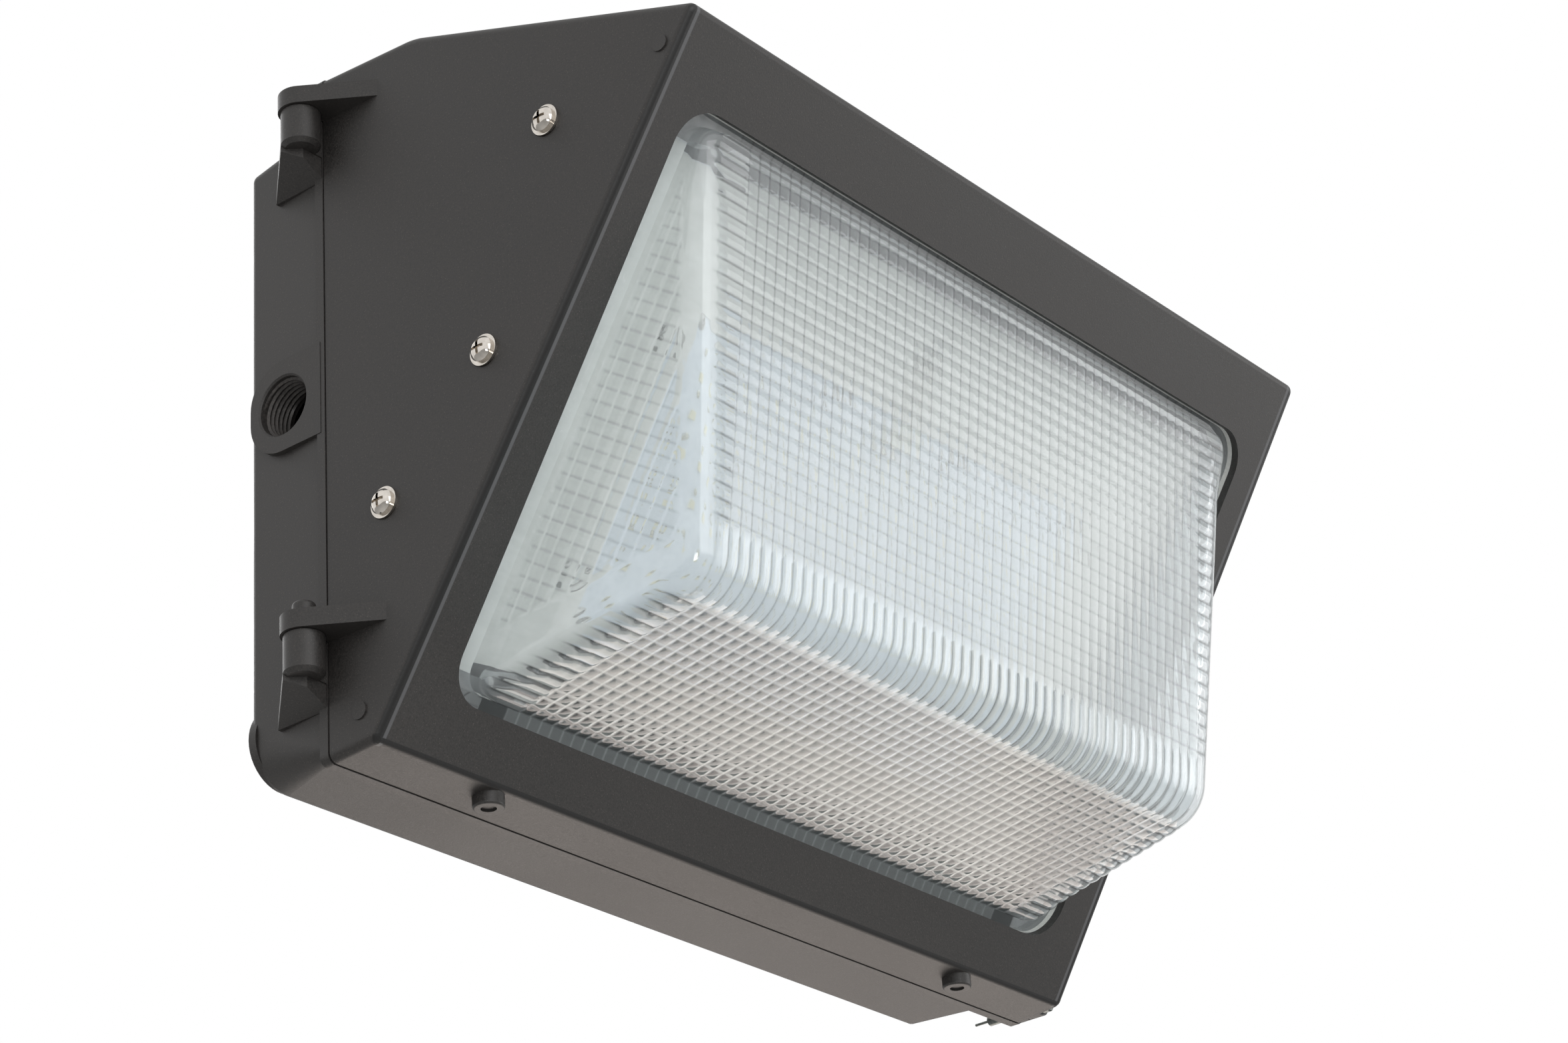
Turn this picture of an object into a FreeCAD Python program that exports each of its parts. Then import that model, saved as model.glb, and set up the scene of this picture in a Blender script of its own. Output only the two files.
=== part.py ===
import FreeCAD, Part
import math
import os

from FreeCAD import Placement, Rotation, Vector

# Wall pack light: a die-cast back box for the wall, and a hinged front housing with a glass refractor.
# Millimetres. The origin is the centre of the wall bolts, on the wall face. +Y is into the wall, +Z is up.
# Depths are counted forward from the parting plane of the two castings.
# Heights are counted up from the foot of the front housing.

# ---- driving dimensions: outer form ----
housing_width = 362.0
housing_height = 247.8
back_depth = 36.8
bolts_drop = 130.8
face_foot_depth = 18.0
face_foot_height = 1.5
face_top_depth = 154.2
face_top_drop = 39.8
roof_bend_depth = 39.6
roof_bend_drop = 1.0
roof_bend_radius = 22.0
side_draft_deg = 2.3
corner_radius = 3.0
face_edge_radius = 2.2
wall = 3.0
parting_gap = 0.4

# ---- back box ----
box_left_inset = 0.5
box_right_inset = 18.0
box_roof_inset = 16.4
box_foot_inset = 2.4
box_side_draft = 2.2
box_foot_draft = 2.1
box_roof_draft = 4.4
box_right_draft = 1.0
box_corner_radius = 3.5
box_foot_corner_radius = 15.0
box_back_radius = 2.5
box_foot_pad_radius = 14.0
box_foot_pad_length = 3.1
box_foot_pad_proud = 1.0
rim_thickness = 3.5
rim_proud = 0.3
rim_land = 8.0

# ---- gasket between the two housings ----
gasket_inset = 1.4
gasket_width = 4.0
gasket_groove_depth = 2.0
gasket_side_gap = 0.1
gasket_face_gap = 0.3
housing_rim_width = 6.2
housing_rim_depth = 4.2

# ---- wall fixing and conduit entries ----
bolt_hole_radius = 3.5
bolt_spacing_x = 228.6
bolt_spacing_z = 127.0
bolt_pad_radius = 8.5
bolt_pad_height = 2.5
conduit_radius = 10.4
conduit_height = 130.9
conduit_behind = 19.1
conduit_chamfer = 0.6
hub_half_height = 16.6
hub_reach_back = 33.6
hub_corner_radius = 14.0
hub_proud = 1.0
hub_inner_length = 9.0
rear_hub_radius = 15.0
rear_hub_length = 10.0
plug_radial_gap = 0.05
plug_length = 11.0
plug_recess = 0.6
plug_socket_across = 9.5
plug_socket_depth = 6.0

# ---- hinge ----
hinge_offset = 8.5
hinge_behind = 1.8
knuckle_radius = 7.5
barrel_radius = 6.6
pintle_radius = 3.75
pintle_gap = 0.08
lug_thickness = 6.3
lug_start_depth = 26.3
upper_lug_drop = 17.3
lower_lug_height = 39.9
lug_lift = 0.3
barrel_length = 13.6
barrel_chamfer = 1.4
lower_pintle_proud = 5.0
upper_pintle_short = 1.6
pintle_dome = 1.2
gusset_drop = 8.2
gusset_reach_back = 22.5
gusset_thickness = 3.0
gusset_front_gap = 0.5

# ---- closing screws ----
ear_offset = 5.2
ear_radius = 4.2
ear_inset = 7.4
ear_thickness = 6.0
closing_screw_radius = 2.0
closing_screw_length = 30.4
closing_tip_radius = 0.5
closing_tip_length = 5.4
closing_cone_length = 1.2
closing_hole_gap = 0.1
closing_head_radius = 3.4
closing_head_height = 3.6
closing_slot_width = 1.3
closing_slot_depth = 1.4
closing_head_chamfer = 0.5

# ---- small cast features of the front housing ----
eject_mark_radius = 2.9
eject_mark_proud = 0.5
eject_mark_foot_up = 6.6
eject_mark_foot_in = 10.8
eject_mark_top_drop = 16.0
eject_mark_top_in = 6.4
drip_boss_radius = 5.2
drip_boss_depth = 12.2
drip_boss_foot = 3.0
drip_boss_edge = 0.8
drip_boss_x = 123.3
drip_dimple_radius = 2.6
drip_dimple_depth = 0.8

# ---- glass refractor ----
opening_side_inset = 21.0
opening_foot = 20.5
opening_top_inset = 27.3
opening_corner = 14.0
glass_wall = 4.0
glass_flange_lap = 6.0
glass_flange_thickness = 5.0
dome_side_gap = 10.5
dome_foot_gap = 4.0
dome_top_gap = 3.5
dome_ridge_up = 83.0
dome_ridge_out = 63.3
dome_side_draft = 9.8
dome_ridge_radius = 14.0
dome_edge_radius = 9.0
lens_gasket_thickness = 2.0
lens_gasket_lap = 5.0

# ---- clips that hold the glass ----
clip_spacing = 105.0
clip_boss_radius = 4.6
clip_boss_clear = 1.4
clip_width = 16.0
clip_thickness = 1.5
clip_bite = 4.0
clip_tail = 4.4
clip_screw_radius = 2.0
clip_screw_length = 7.5
clip_head_radius = 4.0
clip_head_height = 2.6
clip_corner = 2.0

# ---- lamp tray, heat sink and light source ----
tray_front = 18.0
tray_thickness = 2.0
tray_foot_gap = 9.5
tray_top_gap = 9.0
tray_side_inset = 11.0
tray_side_reach = 31.0
tray_side_foot_gap = 30.0
tray_side_top_gap = 4.0
tray_window_gap = 1.0
tray_pad_radius = 7.5
tray_corner = 4.0
window_corner = 2.0
board_half_width = 107.0
board_foot = 56.0
board_length = 112.0
board_thickness = 1.6
board_corner = 1.0
board_screw_columns = 4
board_screw_bite = 3.0
pad_thickness = 0.4
reflector_thickness = 0.8
reflector_lap = 4.0
reflector_side_gap = 12.0
reflector_top_gap = 1.0
heat_sink_lap = 10.0
heat_sink_base = 5.0
heat_sink_screw_inset = 15.0
heat_sink_screw_short = 1.5
heat_sink_tap_floor = 0.8
fin_height = 18.0
fin_thickness = 2.2
fin_count = 15
emitter_size = 3.0
emitter_height = 0.7
emitter_columns = 14
emitter_rows = 7
emitter_margin_x = 14.0
emitter_margin_y = 12.0

# ---- small screws ----
side_screw_top_drop = 48.2716
side_screw_top_depth = 40.2
side_screw_lower_places = ((123.6, 23.8), (68.8, 37.8))
side_screw_radius = 2.5
side_screw_length = 15.0
side_head_radius = 4.2
side_head_height = 2.7
side_washer_radius = 5.3
side_washer_thickness = 1.1
small_screw_radius = 1.5
small_head_radius = 2.8
small_head_height = 1.7
tap_gap = 0.05
tap_run = 0.5
hole_gap = 0.25
recess_width = 1.0

# ---- leads and connectors of the light source ----
lead_radius = 0.9
lead_pitch = 3.0
lead_bend = 2.3
lead_hole_gap = 1.2
lead_hole_rise = 22.0
lead_drop = 4.0
lead_end = 5.0
header_length = 9.0
header_width = 8.0
header_roof = 1.6
grommet_flange = 1.6
grommet_flange_thickness = 1.0
plug_body_length = 16.0
plug_body_width = 10.0
plug_body_height = 7.0
plug_shell = 1.2
plug_mouth_depth = 12.0

# ---- driver and terminal block in the back box ----
driver_left = -62.0
driver_length = 140.0
driver_roof_gap = 23.4
driver_height = 58.0
driver_depth = 25.0
driver_sheet = 1.0
driver_tab = 11.0
driver_pad_height = 2.0
driver_board_thickness = 1.6
driver_board_lift = 4.0
driver_board_gap = 0.6
driver_rail_width = 3.0
component_gap = 1.5
choke_from_end = 28.0
choke_radius = 9.0
choke_below = 3.18
input_capacitor_from_end = 42.0
input_capacitor_radius = 7.0
input_capacitor_shift = 14.0
input_capacitor_below = 0.795
transformer_from_end = 56.0
transformer_length = 28.0
transformer_width = 28.0
transformer_shift = 2.0
output_capacitor_from_end = 97.0
output_capacitor_pitch = 15.0
output_capacitor_radius = 6.0
output_capacitor_below = 1.59
output_capacitor_shift = 13.0
spreader_from_end = 90.0
spreader_length = 36.0
spreader_thickness = 3.0
spreader_shift = 8.5
spreader_below = 2.385
terminal_length = 16.0
terminal_height = 30.0
terminal_depth = 14.0
terminal_gap = 14.0
terminal_poles = 3
terminal_pitch = 9.0
terminal_hole_radius = 1.7
terminal_screw_radius = 2.2
terminal_screw_length = 3.0
terminal_screw_sink = 1.0
terminal_slot_width = 0.8
terminal_slot_depth = 0.8
output_run = 11.0
output_offset = 26.0
ground_x = -140.0
ground_height = 60.0
ground_boss_radius = 5.5
ground_boss_height = 6.0
ground_across = 8.0
ground_head_height = 4.0
ground_screw_short = 1.0
ground_washer_radius = 5.0
ground_washer_thickness = 0.8

# ---- values that follow ----
parting_y = -back_depth
foot_z = bolts_drop - housing_height
half_width = housing_width / 2.0
roof_bend_height = housing_height - roof_bend_drop
face_top_height = housing_height - face_top_drop
side_slope = math.tan(math.radians(side_draft_deg))
face_run = face_top_depth - face_foot_depth
face_rise = face_top_height - face_foot_height
face_length = math.hypot(face_run, face_rise)
face_tilt = math.degrees(math.atan2(face_rise, -face_run))
half_gap = parting_gap / 2.0
box_half_left = half_width - box_left_inset
box_half_right = half_width - box_right_inset
box_height = housing_height - box_roof_inset
driver_foot = box_height - driver_roof_gap - driver_height
upper_lug_height = housing_height - upper_lug_drop
lug_hole_radius = pintle_radius + pintle_gap
hinge_x = half_width + hinge_offset
ear_x = half_width + ear_offset
opening_half_width = half_width - opening_side_inset
opening_top = face_length - opening_top_inset
dome_half_width = opening_half_width - dome_side_gap
dome_foot = opening_foot + dome_foot_gap
dome_top = opening_top - dome_top_gap
tray_half_width = half_width - tray_side_inset
tray_foot = opening_foot + tray_foot_gap
tray_top = opening_top - tray_top_gap
tray_side_foot = tray_foot + tray_side_foot_gap
tray_side_top = tray_top - tray_side_top_gap
tray_side_back = tray_front + tray_side_reach
board_top = board_foot + board_length
reflector_half_width = tray_half_width - reflector_side_gap
reflector_top = tray_top - reflector_top_gap
tray_back = tray_front + tray_thickness
board_back = tray_front + board_thickness
pad_back = board_back + pad_thickness
glass_back = wall + lens_gasket_thickness + glass_flange_thickness
box_floor = back_depth - wall
X_AXIS = Vector(1, 0, 0)
Y_AXIS = Vector(0, 1, 0)
Z_AXIS = Vector(0, 0, 1)
FAR = 600.0
PAST = 20.0
NEAR = 0.01
# Shape of a pan head and its cross recess, as shares of the head's radius and height.
PAN_RIM = 0.35
PAN_CROWN_OUT = 0.72
PAN_CROWN_UP = 0.82
RECESS_REACH = 0.56
RECESS_DEPTH = 0.6
# Where a gusset's side meets its barrel, as shares of the barrel's radius, and how far the dome's sides run on.
GUSSET_OUT = 0.75
GUSSET_BACK = 0.66
DOME_RUN = 1.2


def at(x, behind, up):
    """Point x across, some way behind the parting plane, and up from the foot of the front housing."""
    return Vector(x, parting_y + behind, foot_z + up)


FACE_PLACE = Placement(at(0, -face_foot_depth, face_foot_height), Rotation(X_AXIS, face_tilt))


def on_face(shape):
    """Carry a shape drawn with X across, Y up the slanted face and Z out of it to its place."""
    return shape.transformed(FACE_PLACE.toMatrix())


def face_point(x, up, out):
    """Place in the object of a point given on the slanted face."""
    return FACE_PLACE.multVec(Vector(x, up, out))


def polygon(points):
    """Flat face inside a closed line of straight sides."""
    return Part.Face(Part.makePolygon(list(points) + [points[0]]))


def block(low, high):
    """Box between two opposite corners."""
    size = high.sub(low)
    return Part.makeBox(size.x, size.y, size.z, low)


def rod(start, axis, length, radius):
    """Round bar."""
    return Part.makeCylinder(radius, length, start, axis)


def fuse(shapes):
    """One solid from touching shapes."""
    return shapes[0].multiFuse(shapes[1:]).removeSplitter()


def cut(shape, tools):
    """A solid less the tools."""
    return shape.cut(Part.makeCompound(tools)).removeSplitter()


def group(shapes):
    """Separate solids in one sub-part."""
    return Part.makeCompound(shapes)


def both_sides(shapes):
    """The shapes and their mirror images on the other side of the middle plane."""
    return list(shapes) + [shape.mirror(Vector(0, 0, 0), X_AXIS) for shape in shapes]


def arc_corner(before, corner, after, radius):
    """Ends and middle of the arc that rounds one corner of a path."""
    back = before.sub(corner).normalize()
    ahead = after.sub(corner).normalize()
    half = back.getAngle(ahead) / 2.0
    run = radius / math.tan(half)
    centre = corner.add(back.add(ahead).normalize().multiply(radius / math.sin(half)))
    start = corner.add(Vector(back).multiply(run))
    end = corner.add(Vector(ahead).multiply(run))
    middle = centre.add(corner.sub(centre).normalize().multiply(radius))
    return start, middle, end


def rounded_wire(points, radii, closed=True):
    """Line of straight sides whose corners are arcs, each with its own radius."""
    count = len(points)
    corners = range(count) if closed else range(1, count - 1)
    arcs = [arc_corner(points[i - 1], points[i], points[(i + 1) % count], radii[i]) for i in corners]
    edges = []
    here = arcs[-1][2] if closed else points[0]
    for start, middle, end in arcs:
        if here.sub(start).Length > NEAR:
            edges.append(Part.LineSegment(here, start).toShape())
        edges.append(Part.Arc(start, middle, end).toShape())
        here = end
    if not closed:
        edges.append(Part.LineSegment(here, points[-1]).toShape())
    return Part.Wire(edges)


def plate(low_x, low_y, high_x, high_y, radius, back, front):
    """Plate with rounded corners, drawn in X and Y between two levels of Z."""
    corners = [Vector(low_x, low_y, back), Vector(high_x, low_y, back),
               Vector(high_x, high_y, back), Vector(low_x, high_y, back)]
    return Part.Face(rounded_wire(corners, [radius] * 4)).extrude(Vector(0, 0, front - back))


def upright_wire(low_x, foot, high_x, top, radii, behind):
    """Rounded rectangle parallel to the wall. Its radii start at the left foot and go round by the right."""
    corners = [at(low_x, behind, foot), at(high_x, behind, foot),
               at(high_x, behind, top), at(low_x, behind, top)]
    return rounded_wire(corners, radii)


def upright_plate(low_x, foot, high_x, top, radius, front, back):
    """Plate with rounded corners that stands parallel to the wall."""
    wire = upright_wire(low_x, foot, high_x, top, [radius] * 4, front)
    return Part.Face(wire).extrude(Vector(0, back - front, 0))


def ring_plate(outline, inset, width, radius, front, back):
    """Upright ring that follows an outline (low x, foot, high x, top) at an inset."""
    low_x, foot, high_x, top = outline
    inner = inset + width
    outer_plate = upright_plate(low_x + inset, foot + inset, high_x - inset, top - inset,
                                max(radius - inset, 1.0), front, back)
    inner_plate = upright_plate(low_x + inner, foot + inner, high_x - inner, top - inner,
                                max(radius - inner, 1.0), front, back)
    return outer_plate.cut(inner_plate)


def tube(points, bend, radius):
    """Round lead along a path of straight runs joined by arcs."""
    path = rounded_wire(points, [bend] * len(points), closed=False)
    section = Part.Wire([Part.makeCircle(radius, points[0], points[1].sub(points[0]))])
    return path.makePipeShell([section], True, False)


def pan_screw(radius, length, head_radius, head_height):
    """Pan-head screw with a cross recess, its head's seat at the origin and its shank along -Z."""
    rim = head_height * PAN_RIM
    shoulder = Vector(head_radius * PAN_CROWN_OUT, 0, head_height * PAN_CROWN_UP)
    crown = Part.Arc(Vector(head_radius, 0, rim), shoulder, Vector(0, 0, head_height)).toShape()
    sides = Part.makePolygon([Vector(0, 0, head_height), Vector(0, 0, 0), Vector(head_radius, 0, 0),
                              Vector(head_radius, 0, rim)])
    head = Part.Face(Part.Wire(sides.Edges + [crown])).revolve(Vector(0, 0, 0), Z_AXIS, 360)
    arm = head_radius * RECESS_REACH
    foot = head_height * (1 - RECESS_DEPTH)
    half = recess_width / 2
    slots = [block(Vector(-arm, -half, foot), Vector(arm, half, head_height + 1)),
             block(Vector(-half, -arm, foot), Vector(half, arm, head_height + 1))]
    shank = rod(Vector(0, 0, 0), Vector(0, 0, -1), length, radius)
    return fuse([cut(head, slots), shank])


def aimed(shape, place, direction):
    """Turn a shape's +Z to a direction and carry its origin to a place."""
    turn = Rotation(Z_AXIS, direction)
    return shape.transformed(Placement(place, turn).toMatrix())


def half_width_at(depth):
    """Half of the front housing's width at a depth in front of the parting plane."""
    return half_width - side_slope * depth


# ---- front housing ----

def profile_points(extra):
    """Side outline of the front housing, from its foot round the front to its roof, run on backwards."""
    foot_slope = face_foot_height / face_foot_depth
    roof_slope = (housing_height - roof_bend_height) / roof_bend_depth
    return [at(0, extra, -foot_slope * extra), at(0, -face_foot_depth, face_foot_height),
            at(0, -face_top_depth, face_top_height), at(0, -roof_bend_depth, roof_bend_height),
            at(0, extra, housing_height + roof_slope * extra)]


def housing_block(inset):
    """The front housing's form, moved in by an inset on every wall and open at the parting plane."""
    extra = 2 * inset + 1.0 if inset else 0.0
    side = polygon(profile_points(extra))
    if inset:
        side = side.makeOffset2D(-inset, 2, False, False)
    side.translate(Vector(-FAR / 2, 0, 0))
    long_block = side.extrude(Vector(FAR, 0, 0))
    side_inset = inset / math.cos(math.radians(side_draft_deg))
    reach = face_top_depth + PAST
    wide = half_width_at(-extra) - side_inset
    narrow = half_width_at(reach) - side_inset
    plan = polygon([at(-wide, extra, -PAST), at(wide, extra, -PAST),
                    at(narrow, -reach, -PAST), at(-narrow, -reach, -PAST)])
    form = long_block.common(plan.extrude(Vector(0, 0, FAR)))
    return rounded_housing(form, inset)


def touches(edge, test):
    """Whether both ends and the middle of an edge pass a test."""
    middle = edge.valueAt((edge.FirstParameter + edge.LastParameter) / 2.0)
    return all(test(point) for point in [vertex.Point for vertex in edge.Vertexes] + [middle])


def rounded_housing(form, inset):
    """Round the roof's bend, the corners that run from front to back, and the rim of the slanted face."""
    face_normal = FACE_PLACE.Rotation.multVec(Z_AXIS)
    face_origin = FACE_PLACE.Base.sub(Vector(face_normal).multiply(inset))
    bend = at(0, -roof_bend_depth, roof_bend_height)

    def on_slant(point):
        return abs(point.sub(face_origin).dot(face_normal)) < NEAR

    def across_bend(point):
        return math.hypot(point.y - bend.y, point.z - bend.z) < 2 * inset + NEAR

    form = form.makeFillet(roof_bend_radius, [edge for edge in form.Edges if touches(edge, across_bend)])
    open_y = max(vertex.Point.y for vertex in form.Vertexes)
    corners = [edge for edge in form.Edges
               if edge.BoundBox.XLength < 0.5 * edge.Length and not touches(edge, on_slant)
               and not touches(edge, lambda point: abs(point.y - open_y) < NEAR)]
    form = form.makeFillet(max(corner_radius - inset, 1.0), corners)
    if inset:
        return form
    return form.makeFillet(face_edge_radius, [edge for edge in form.Edges if touches(edge, on_slant)])


def lug_plan():
    """Outline from above of a door lug: a triangle from the side wall to a round knuckle on the hinge axis."""
    centre = Vector(-hinge_x, hinge_behind, 0)
    root = Vector(-half_width_at(lug_start_depth) + wall / 2, -lug_start_depth, 0)
    reach = centre.sub(root)
    lean = math.atan2(reach.y, reach.x) - math.asin(knuckle_radius / reach.Length)
    run = math.sqrt(reach.Length ** 2 - knuckle_radius ** 2)
    tangent = root.add(Vector(math.cos(lean), math.sin(lean), 0).multiply(run))
    if tangent.x > centre.x:
        lean = math.atan2(reach.y, reach.x) + math.asin(knuckle_radius / reach.Length)
        tangent = root.add(Vector(math.cos(lean), math.sin(lean), 0).multiply(run))
    inner_x = -hinge_x + knuckle_radius
    return [root, tangent, centre, Vector(inner_x, hinge_behind, 0), Vector(inner_x, -half_gap, 0),
            Vector(-half_width + wall / 2, -half_gap, 0)]


def lug(height):
    """One door lug with its knuckle."""
    arm = polygon([at(point.x, point.y, height) for point in lug_plan()]).extrude(Vector(0, 0, lug_thickness))
    knuckle = rod(at(-hinge_x, hinge_behind, height), Z_AXIS, lug_thickness, knuckle_radius)
    return fuse([arm, knuckle])


def ear(height, front, back):
    """Ear beside the right wall that carries a closing screw, between two depths."""
    root_x = half_width - housing_rim_width
    arm = block(at(root_x, front, height - ear_radius), at(ear_x, back, height + ear_radius))
    return fuse([arm, rod(at(ear_x, front, height), Y_AXIS, back - front, ear_radius)])


def ear_heights():
    """Heights of the two closing screws."""
    return (ear_inset, housing_height - ear_inset)


def drip_boss(x):
    """Round boss under the foot of the slanted face, with a dimple, from which rain water drips."""
    foot = at(x, -drip_boss_depth, -drip_boss_foot)
    boss = rod(foot, Z_AXIS, drip_boss_foot + face_foot_height + wall / 2, drip_boss_radius)
    rim = [edge for edge in boss.Edges if edge.BoundBox.ZMax < foot.z + NEAR]
    return boss.makeFillet(drip_boss_edge, rim).cut(rod(foot, Z_AXIS, drip_dimple_depth, drip_dimple_radius))


def wall_x(place):
    """Half of the front housing's width at the depth of a place."""
    return half_width_at(parting_y - place.y)


def eject_mark(up, inside):
    """Round ejector mark that stands a little proud of the left wall."""
    place = face_point(0, up, -inside)
    start = Vector(-wall_x(place) - eject_mark_proud, place.y, place.z)
    return rod(start, X_AXIS, eject_mark_proud + wall / 2, eject_mark_radius)


def side_screw_points():
    """Places of the side screws in the middle plane. The upper one keeps its distance from the face's top."""
    top = face_point(0, face_length - side_screw_top_drop, -side_screw_top_depth)
    return [top] + [face_point(0, up, -inside) for up, inside in side_screw_lower_places]


def tray_pad(place):
    """Pad inside the left wall against which the lamp tray is screwed."""
    outer_x = -wall_x(place) + wall / 2
    return rod(Vector(outer_x, place.y, place.z), X_AXIS, -tray_half_width - outer_x, tray_pad_radius)


def clip_places():
    """Places of the glass clips on the slanted face, with the way from each to the glass."""
    foot = opening_foot - glass_flange_lap - clip_boss_clear - clip_boss_radius
    top = opening_top + glass_flange_lap + clip_boss_clear + clip_boss_radius
    return [(x, up, way) for up, way in ((foot, 1), (top, -1)) for x in (-clip_spacing, 0.0, clip_spacing)]


def housing_holes():
    """Holes of the hinge pins, closing screws, side screws and clip screws in the front housing."""
    pin_holes = [rod(at(-hinge_x, hinge_behind, height - 1), Z_AXIS, lug_thickness + 2, lug_hole_radius)
                 for height in (upper_lug_height, lower_lug_height)]
    screw_holes = [rod(at(ear_x, -ear_thickness - 1, height), Y_AXIS, ear_thickness + 2,
                       closing_screw_radius + closing_hole_gap) for height in ear_heights()]
    side_holes = both_sides([rod(Vector(-tray_half_width + 1, place.y, place.z), Vector(-1, 0, 0),
                                 half_width + 2 - tray_half_width, side_screw_radius + hole_gap)
                             for place in side_screw_points()])
    seats = both_sides([side_seat(place) for place in side_screw_points()])
    clip_hole_length = 1 + clip_screw_length - clip_thickness + tap_run
    clip_holes = [on_face(rod(Vector(x, up, -glass_back - 1), Z_AXIS, clip_hole_length,
                              clip_screw_radius + tap_gap)) for x, up, _ in clip_places()]
    return pin_holes + screw_holes + side_holes + seats + clip_holes


def front_housing():
    """Die-cast front housing: a hood open at the back, with the opening for the glass in its slanted face."""
    hood = housing_block(0.0)
    hollow = housing_block(wall)
    rim_y = parting_y - housing_rim_depth
    keep_front = Part.makeBox(FAR, FAR, FAR, Vector(-FAR / 2, rim_y - FAR, -FAR / 2))
    rim_hollow = housing_block(housing_rim_width)
    shell = hood.cut(hollow.common(keep_front)).cut(rim_hollow)
    clip_bosses = [on_face(rod(Vector(x, up, -glass_back), Z_AXIS, glass_back - wall / 2, clip_boss_radius))
                   for x, up, _ in clip_places()]
    pads = both_sides([tray_pad(place) for place in side_screw_points()])
    marks = both_sides([eject_mark(eject_mark_foot_up, eject_mark_foot_in),
                        eject_mark(face_length - eject_mark_top_drop, eject_mark_top_in)])
    lugs = [lug(upper_lug_height), lug(lower_lug_height)]
    ears = [ear(height, -ear_thickness, 0.0) for height in ear_heights()]
    drips = [drip_boss(-drip_boss_x).cut(hollow), drip_boss(drip_boss_x).cut(hollow)]
    shell = fuse([shell] + clip_bosses + pads + marks + lugs + ears + drips)
    opening = on_face(plate(-opening_half_width, opening_foot, opening_half_width, opening_top,
                            opening_corner, -wall - 1.0, 1.0))
    behind = Part.makeBox(FAR, FAR, FAR, Vector(-hinge_x + knuckle_radius, parting_y - half_gap, -FAR / 2))
    return cut(shell, [opening, behind] + housing_holes())


def side_seat(place):
    """Shallow level seat for a side screw's washer, since the wall leans with its draft."""
    start = Vector(-side_seat_x(place), place.y, place.z)
    return rod(start, Vector(-1, 0, 0), half_width, side_washer_radius + hole_gap)


def side_seat_x(place):
    """Distance from the middle to the seat of a side screw's washer."""
    return wall_x(place) - side_slope * side_washer_radius


# ---- back box ----

def hub(outer_x, way):
    """Flat D-shaped boss round a side conduit entry. way is the side that the boss stands out to."""
    inner_x = outer_x - way * hub_length()
    front = half_gap + rim_thickness / 2
    corners = [at(outer_x, front, conduit_height - hub_half_height),
               at(outer_x, front, conduit_height + hub_half_height),
               at(outer_x, hub_reach_back, conduit_height + hub_half_height),
               at(outer_x, hub_reach_back, conduit_height - hub_half_height)]
    start, middle, end = arc_corner(corners[1], corners[2], corners[3], hub_corner_radius)
    start2, middle2, end2 = arc_corner(corners[2], corners[3], corners[0], hub_corner_radius)
    edges = [Part.LineSegment(corners[0], corners[1]).toShape(),
             Part.LineSegment(corners[1], start).toShape(),
             Part.Arc(start, middle, end).toShape(), Part.LineSegment(end, start2).toShape(),
             Part.Arc(start2, middle2, end2).toShape(), Part.LineSegment(end2, corners[0]).toShape()]
    return Part.Face(Part.Wire(edges)).extrude(Vector(inner_x - outer_x, 0, 0))


def hub_length():
    """Length of a side conduit entry, from its outer face to its end inside the box."""
    return hub_proud + box_side_draft + wall + hub_inner_length


def hub_faces():
    """Outer faces of the left and right conduit entries, with the side that each faces."""
    return ((-box_half_left - hub_proud, -1), (box_half_right + hub_proud, 1))


def conduit_hole(outer_x, way):
    """Through hole of a side conduit entry, with its mouth chamfered."""
    axis = Vector(-way, 0, 0)
    hole = rod(at(outer_x + way, conduit_behind, conduit_height), axis, hub_length() + 2, conduit_radius)
    mouth = Part.makeCone(conduit_radius + conduit_chamfer, conduit_radius, conduit_chamfer,
                          at(outer_x, conduit_behind, conduit_height), axis)
    return hole.fuse(mouth)


def box_form(inset, front, back):
    """The back box's form between two depths, moved in by an inset. Its left foot corner rounds more to the back."""
    edge = max(box_corner_radius - inset, 1.0)

    def outline(depth):
        share = depth / back_depth
        foot_corner = box_corner_radius + share * (box_foot_corner_radius - box_corner_radius) - inset
        return upright_wire(-box_half_left + box_side_draft * share + inset,
                            box_foot_inset + box_foot_draft * share + inset,
                            box_half_right - box_right_draft * share - inset,
                            box_height - box_roof_draft * share - inset,
                            [max(foot_corner, 1.0), edge, edge, edge], depth)

    return Part.makeLoft([outline(front), outline(back)], True, True)


def box_foot_pad():
    """Round pad at the back of the left foot corner, a little proud of the side wall."""
    x = -box_half_left + box_side_draft - box_foot_pad_proud + box_foot_pad_radius
    start = at(x, back_depth - box_foot_pad_length, box_foot_inset + box_foot_draft + box_foot_corner_radius)
    return rod(start, Y_AXIS, box_foot_pad_length, box_foot_pad_radius)


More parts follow.
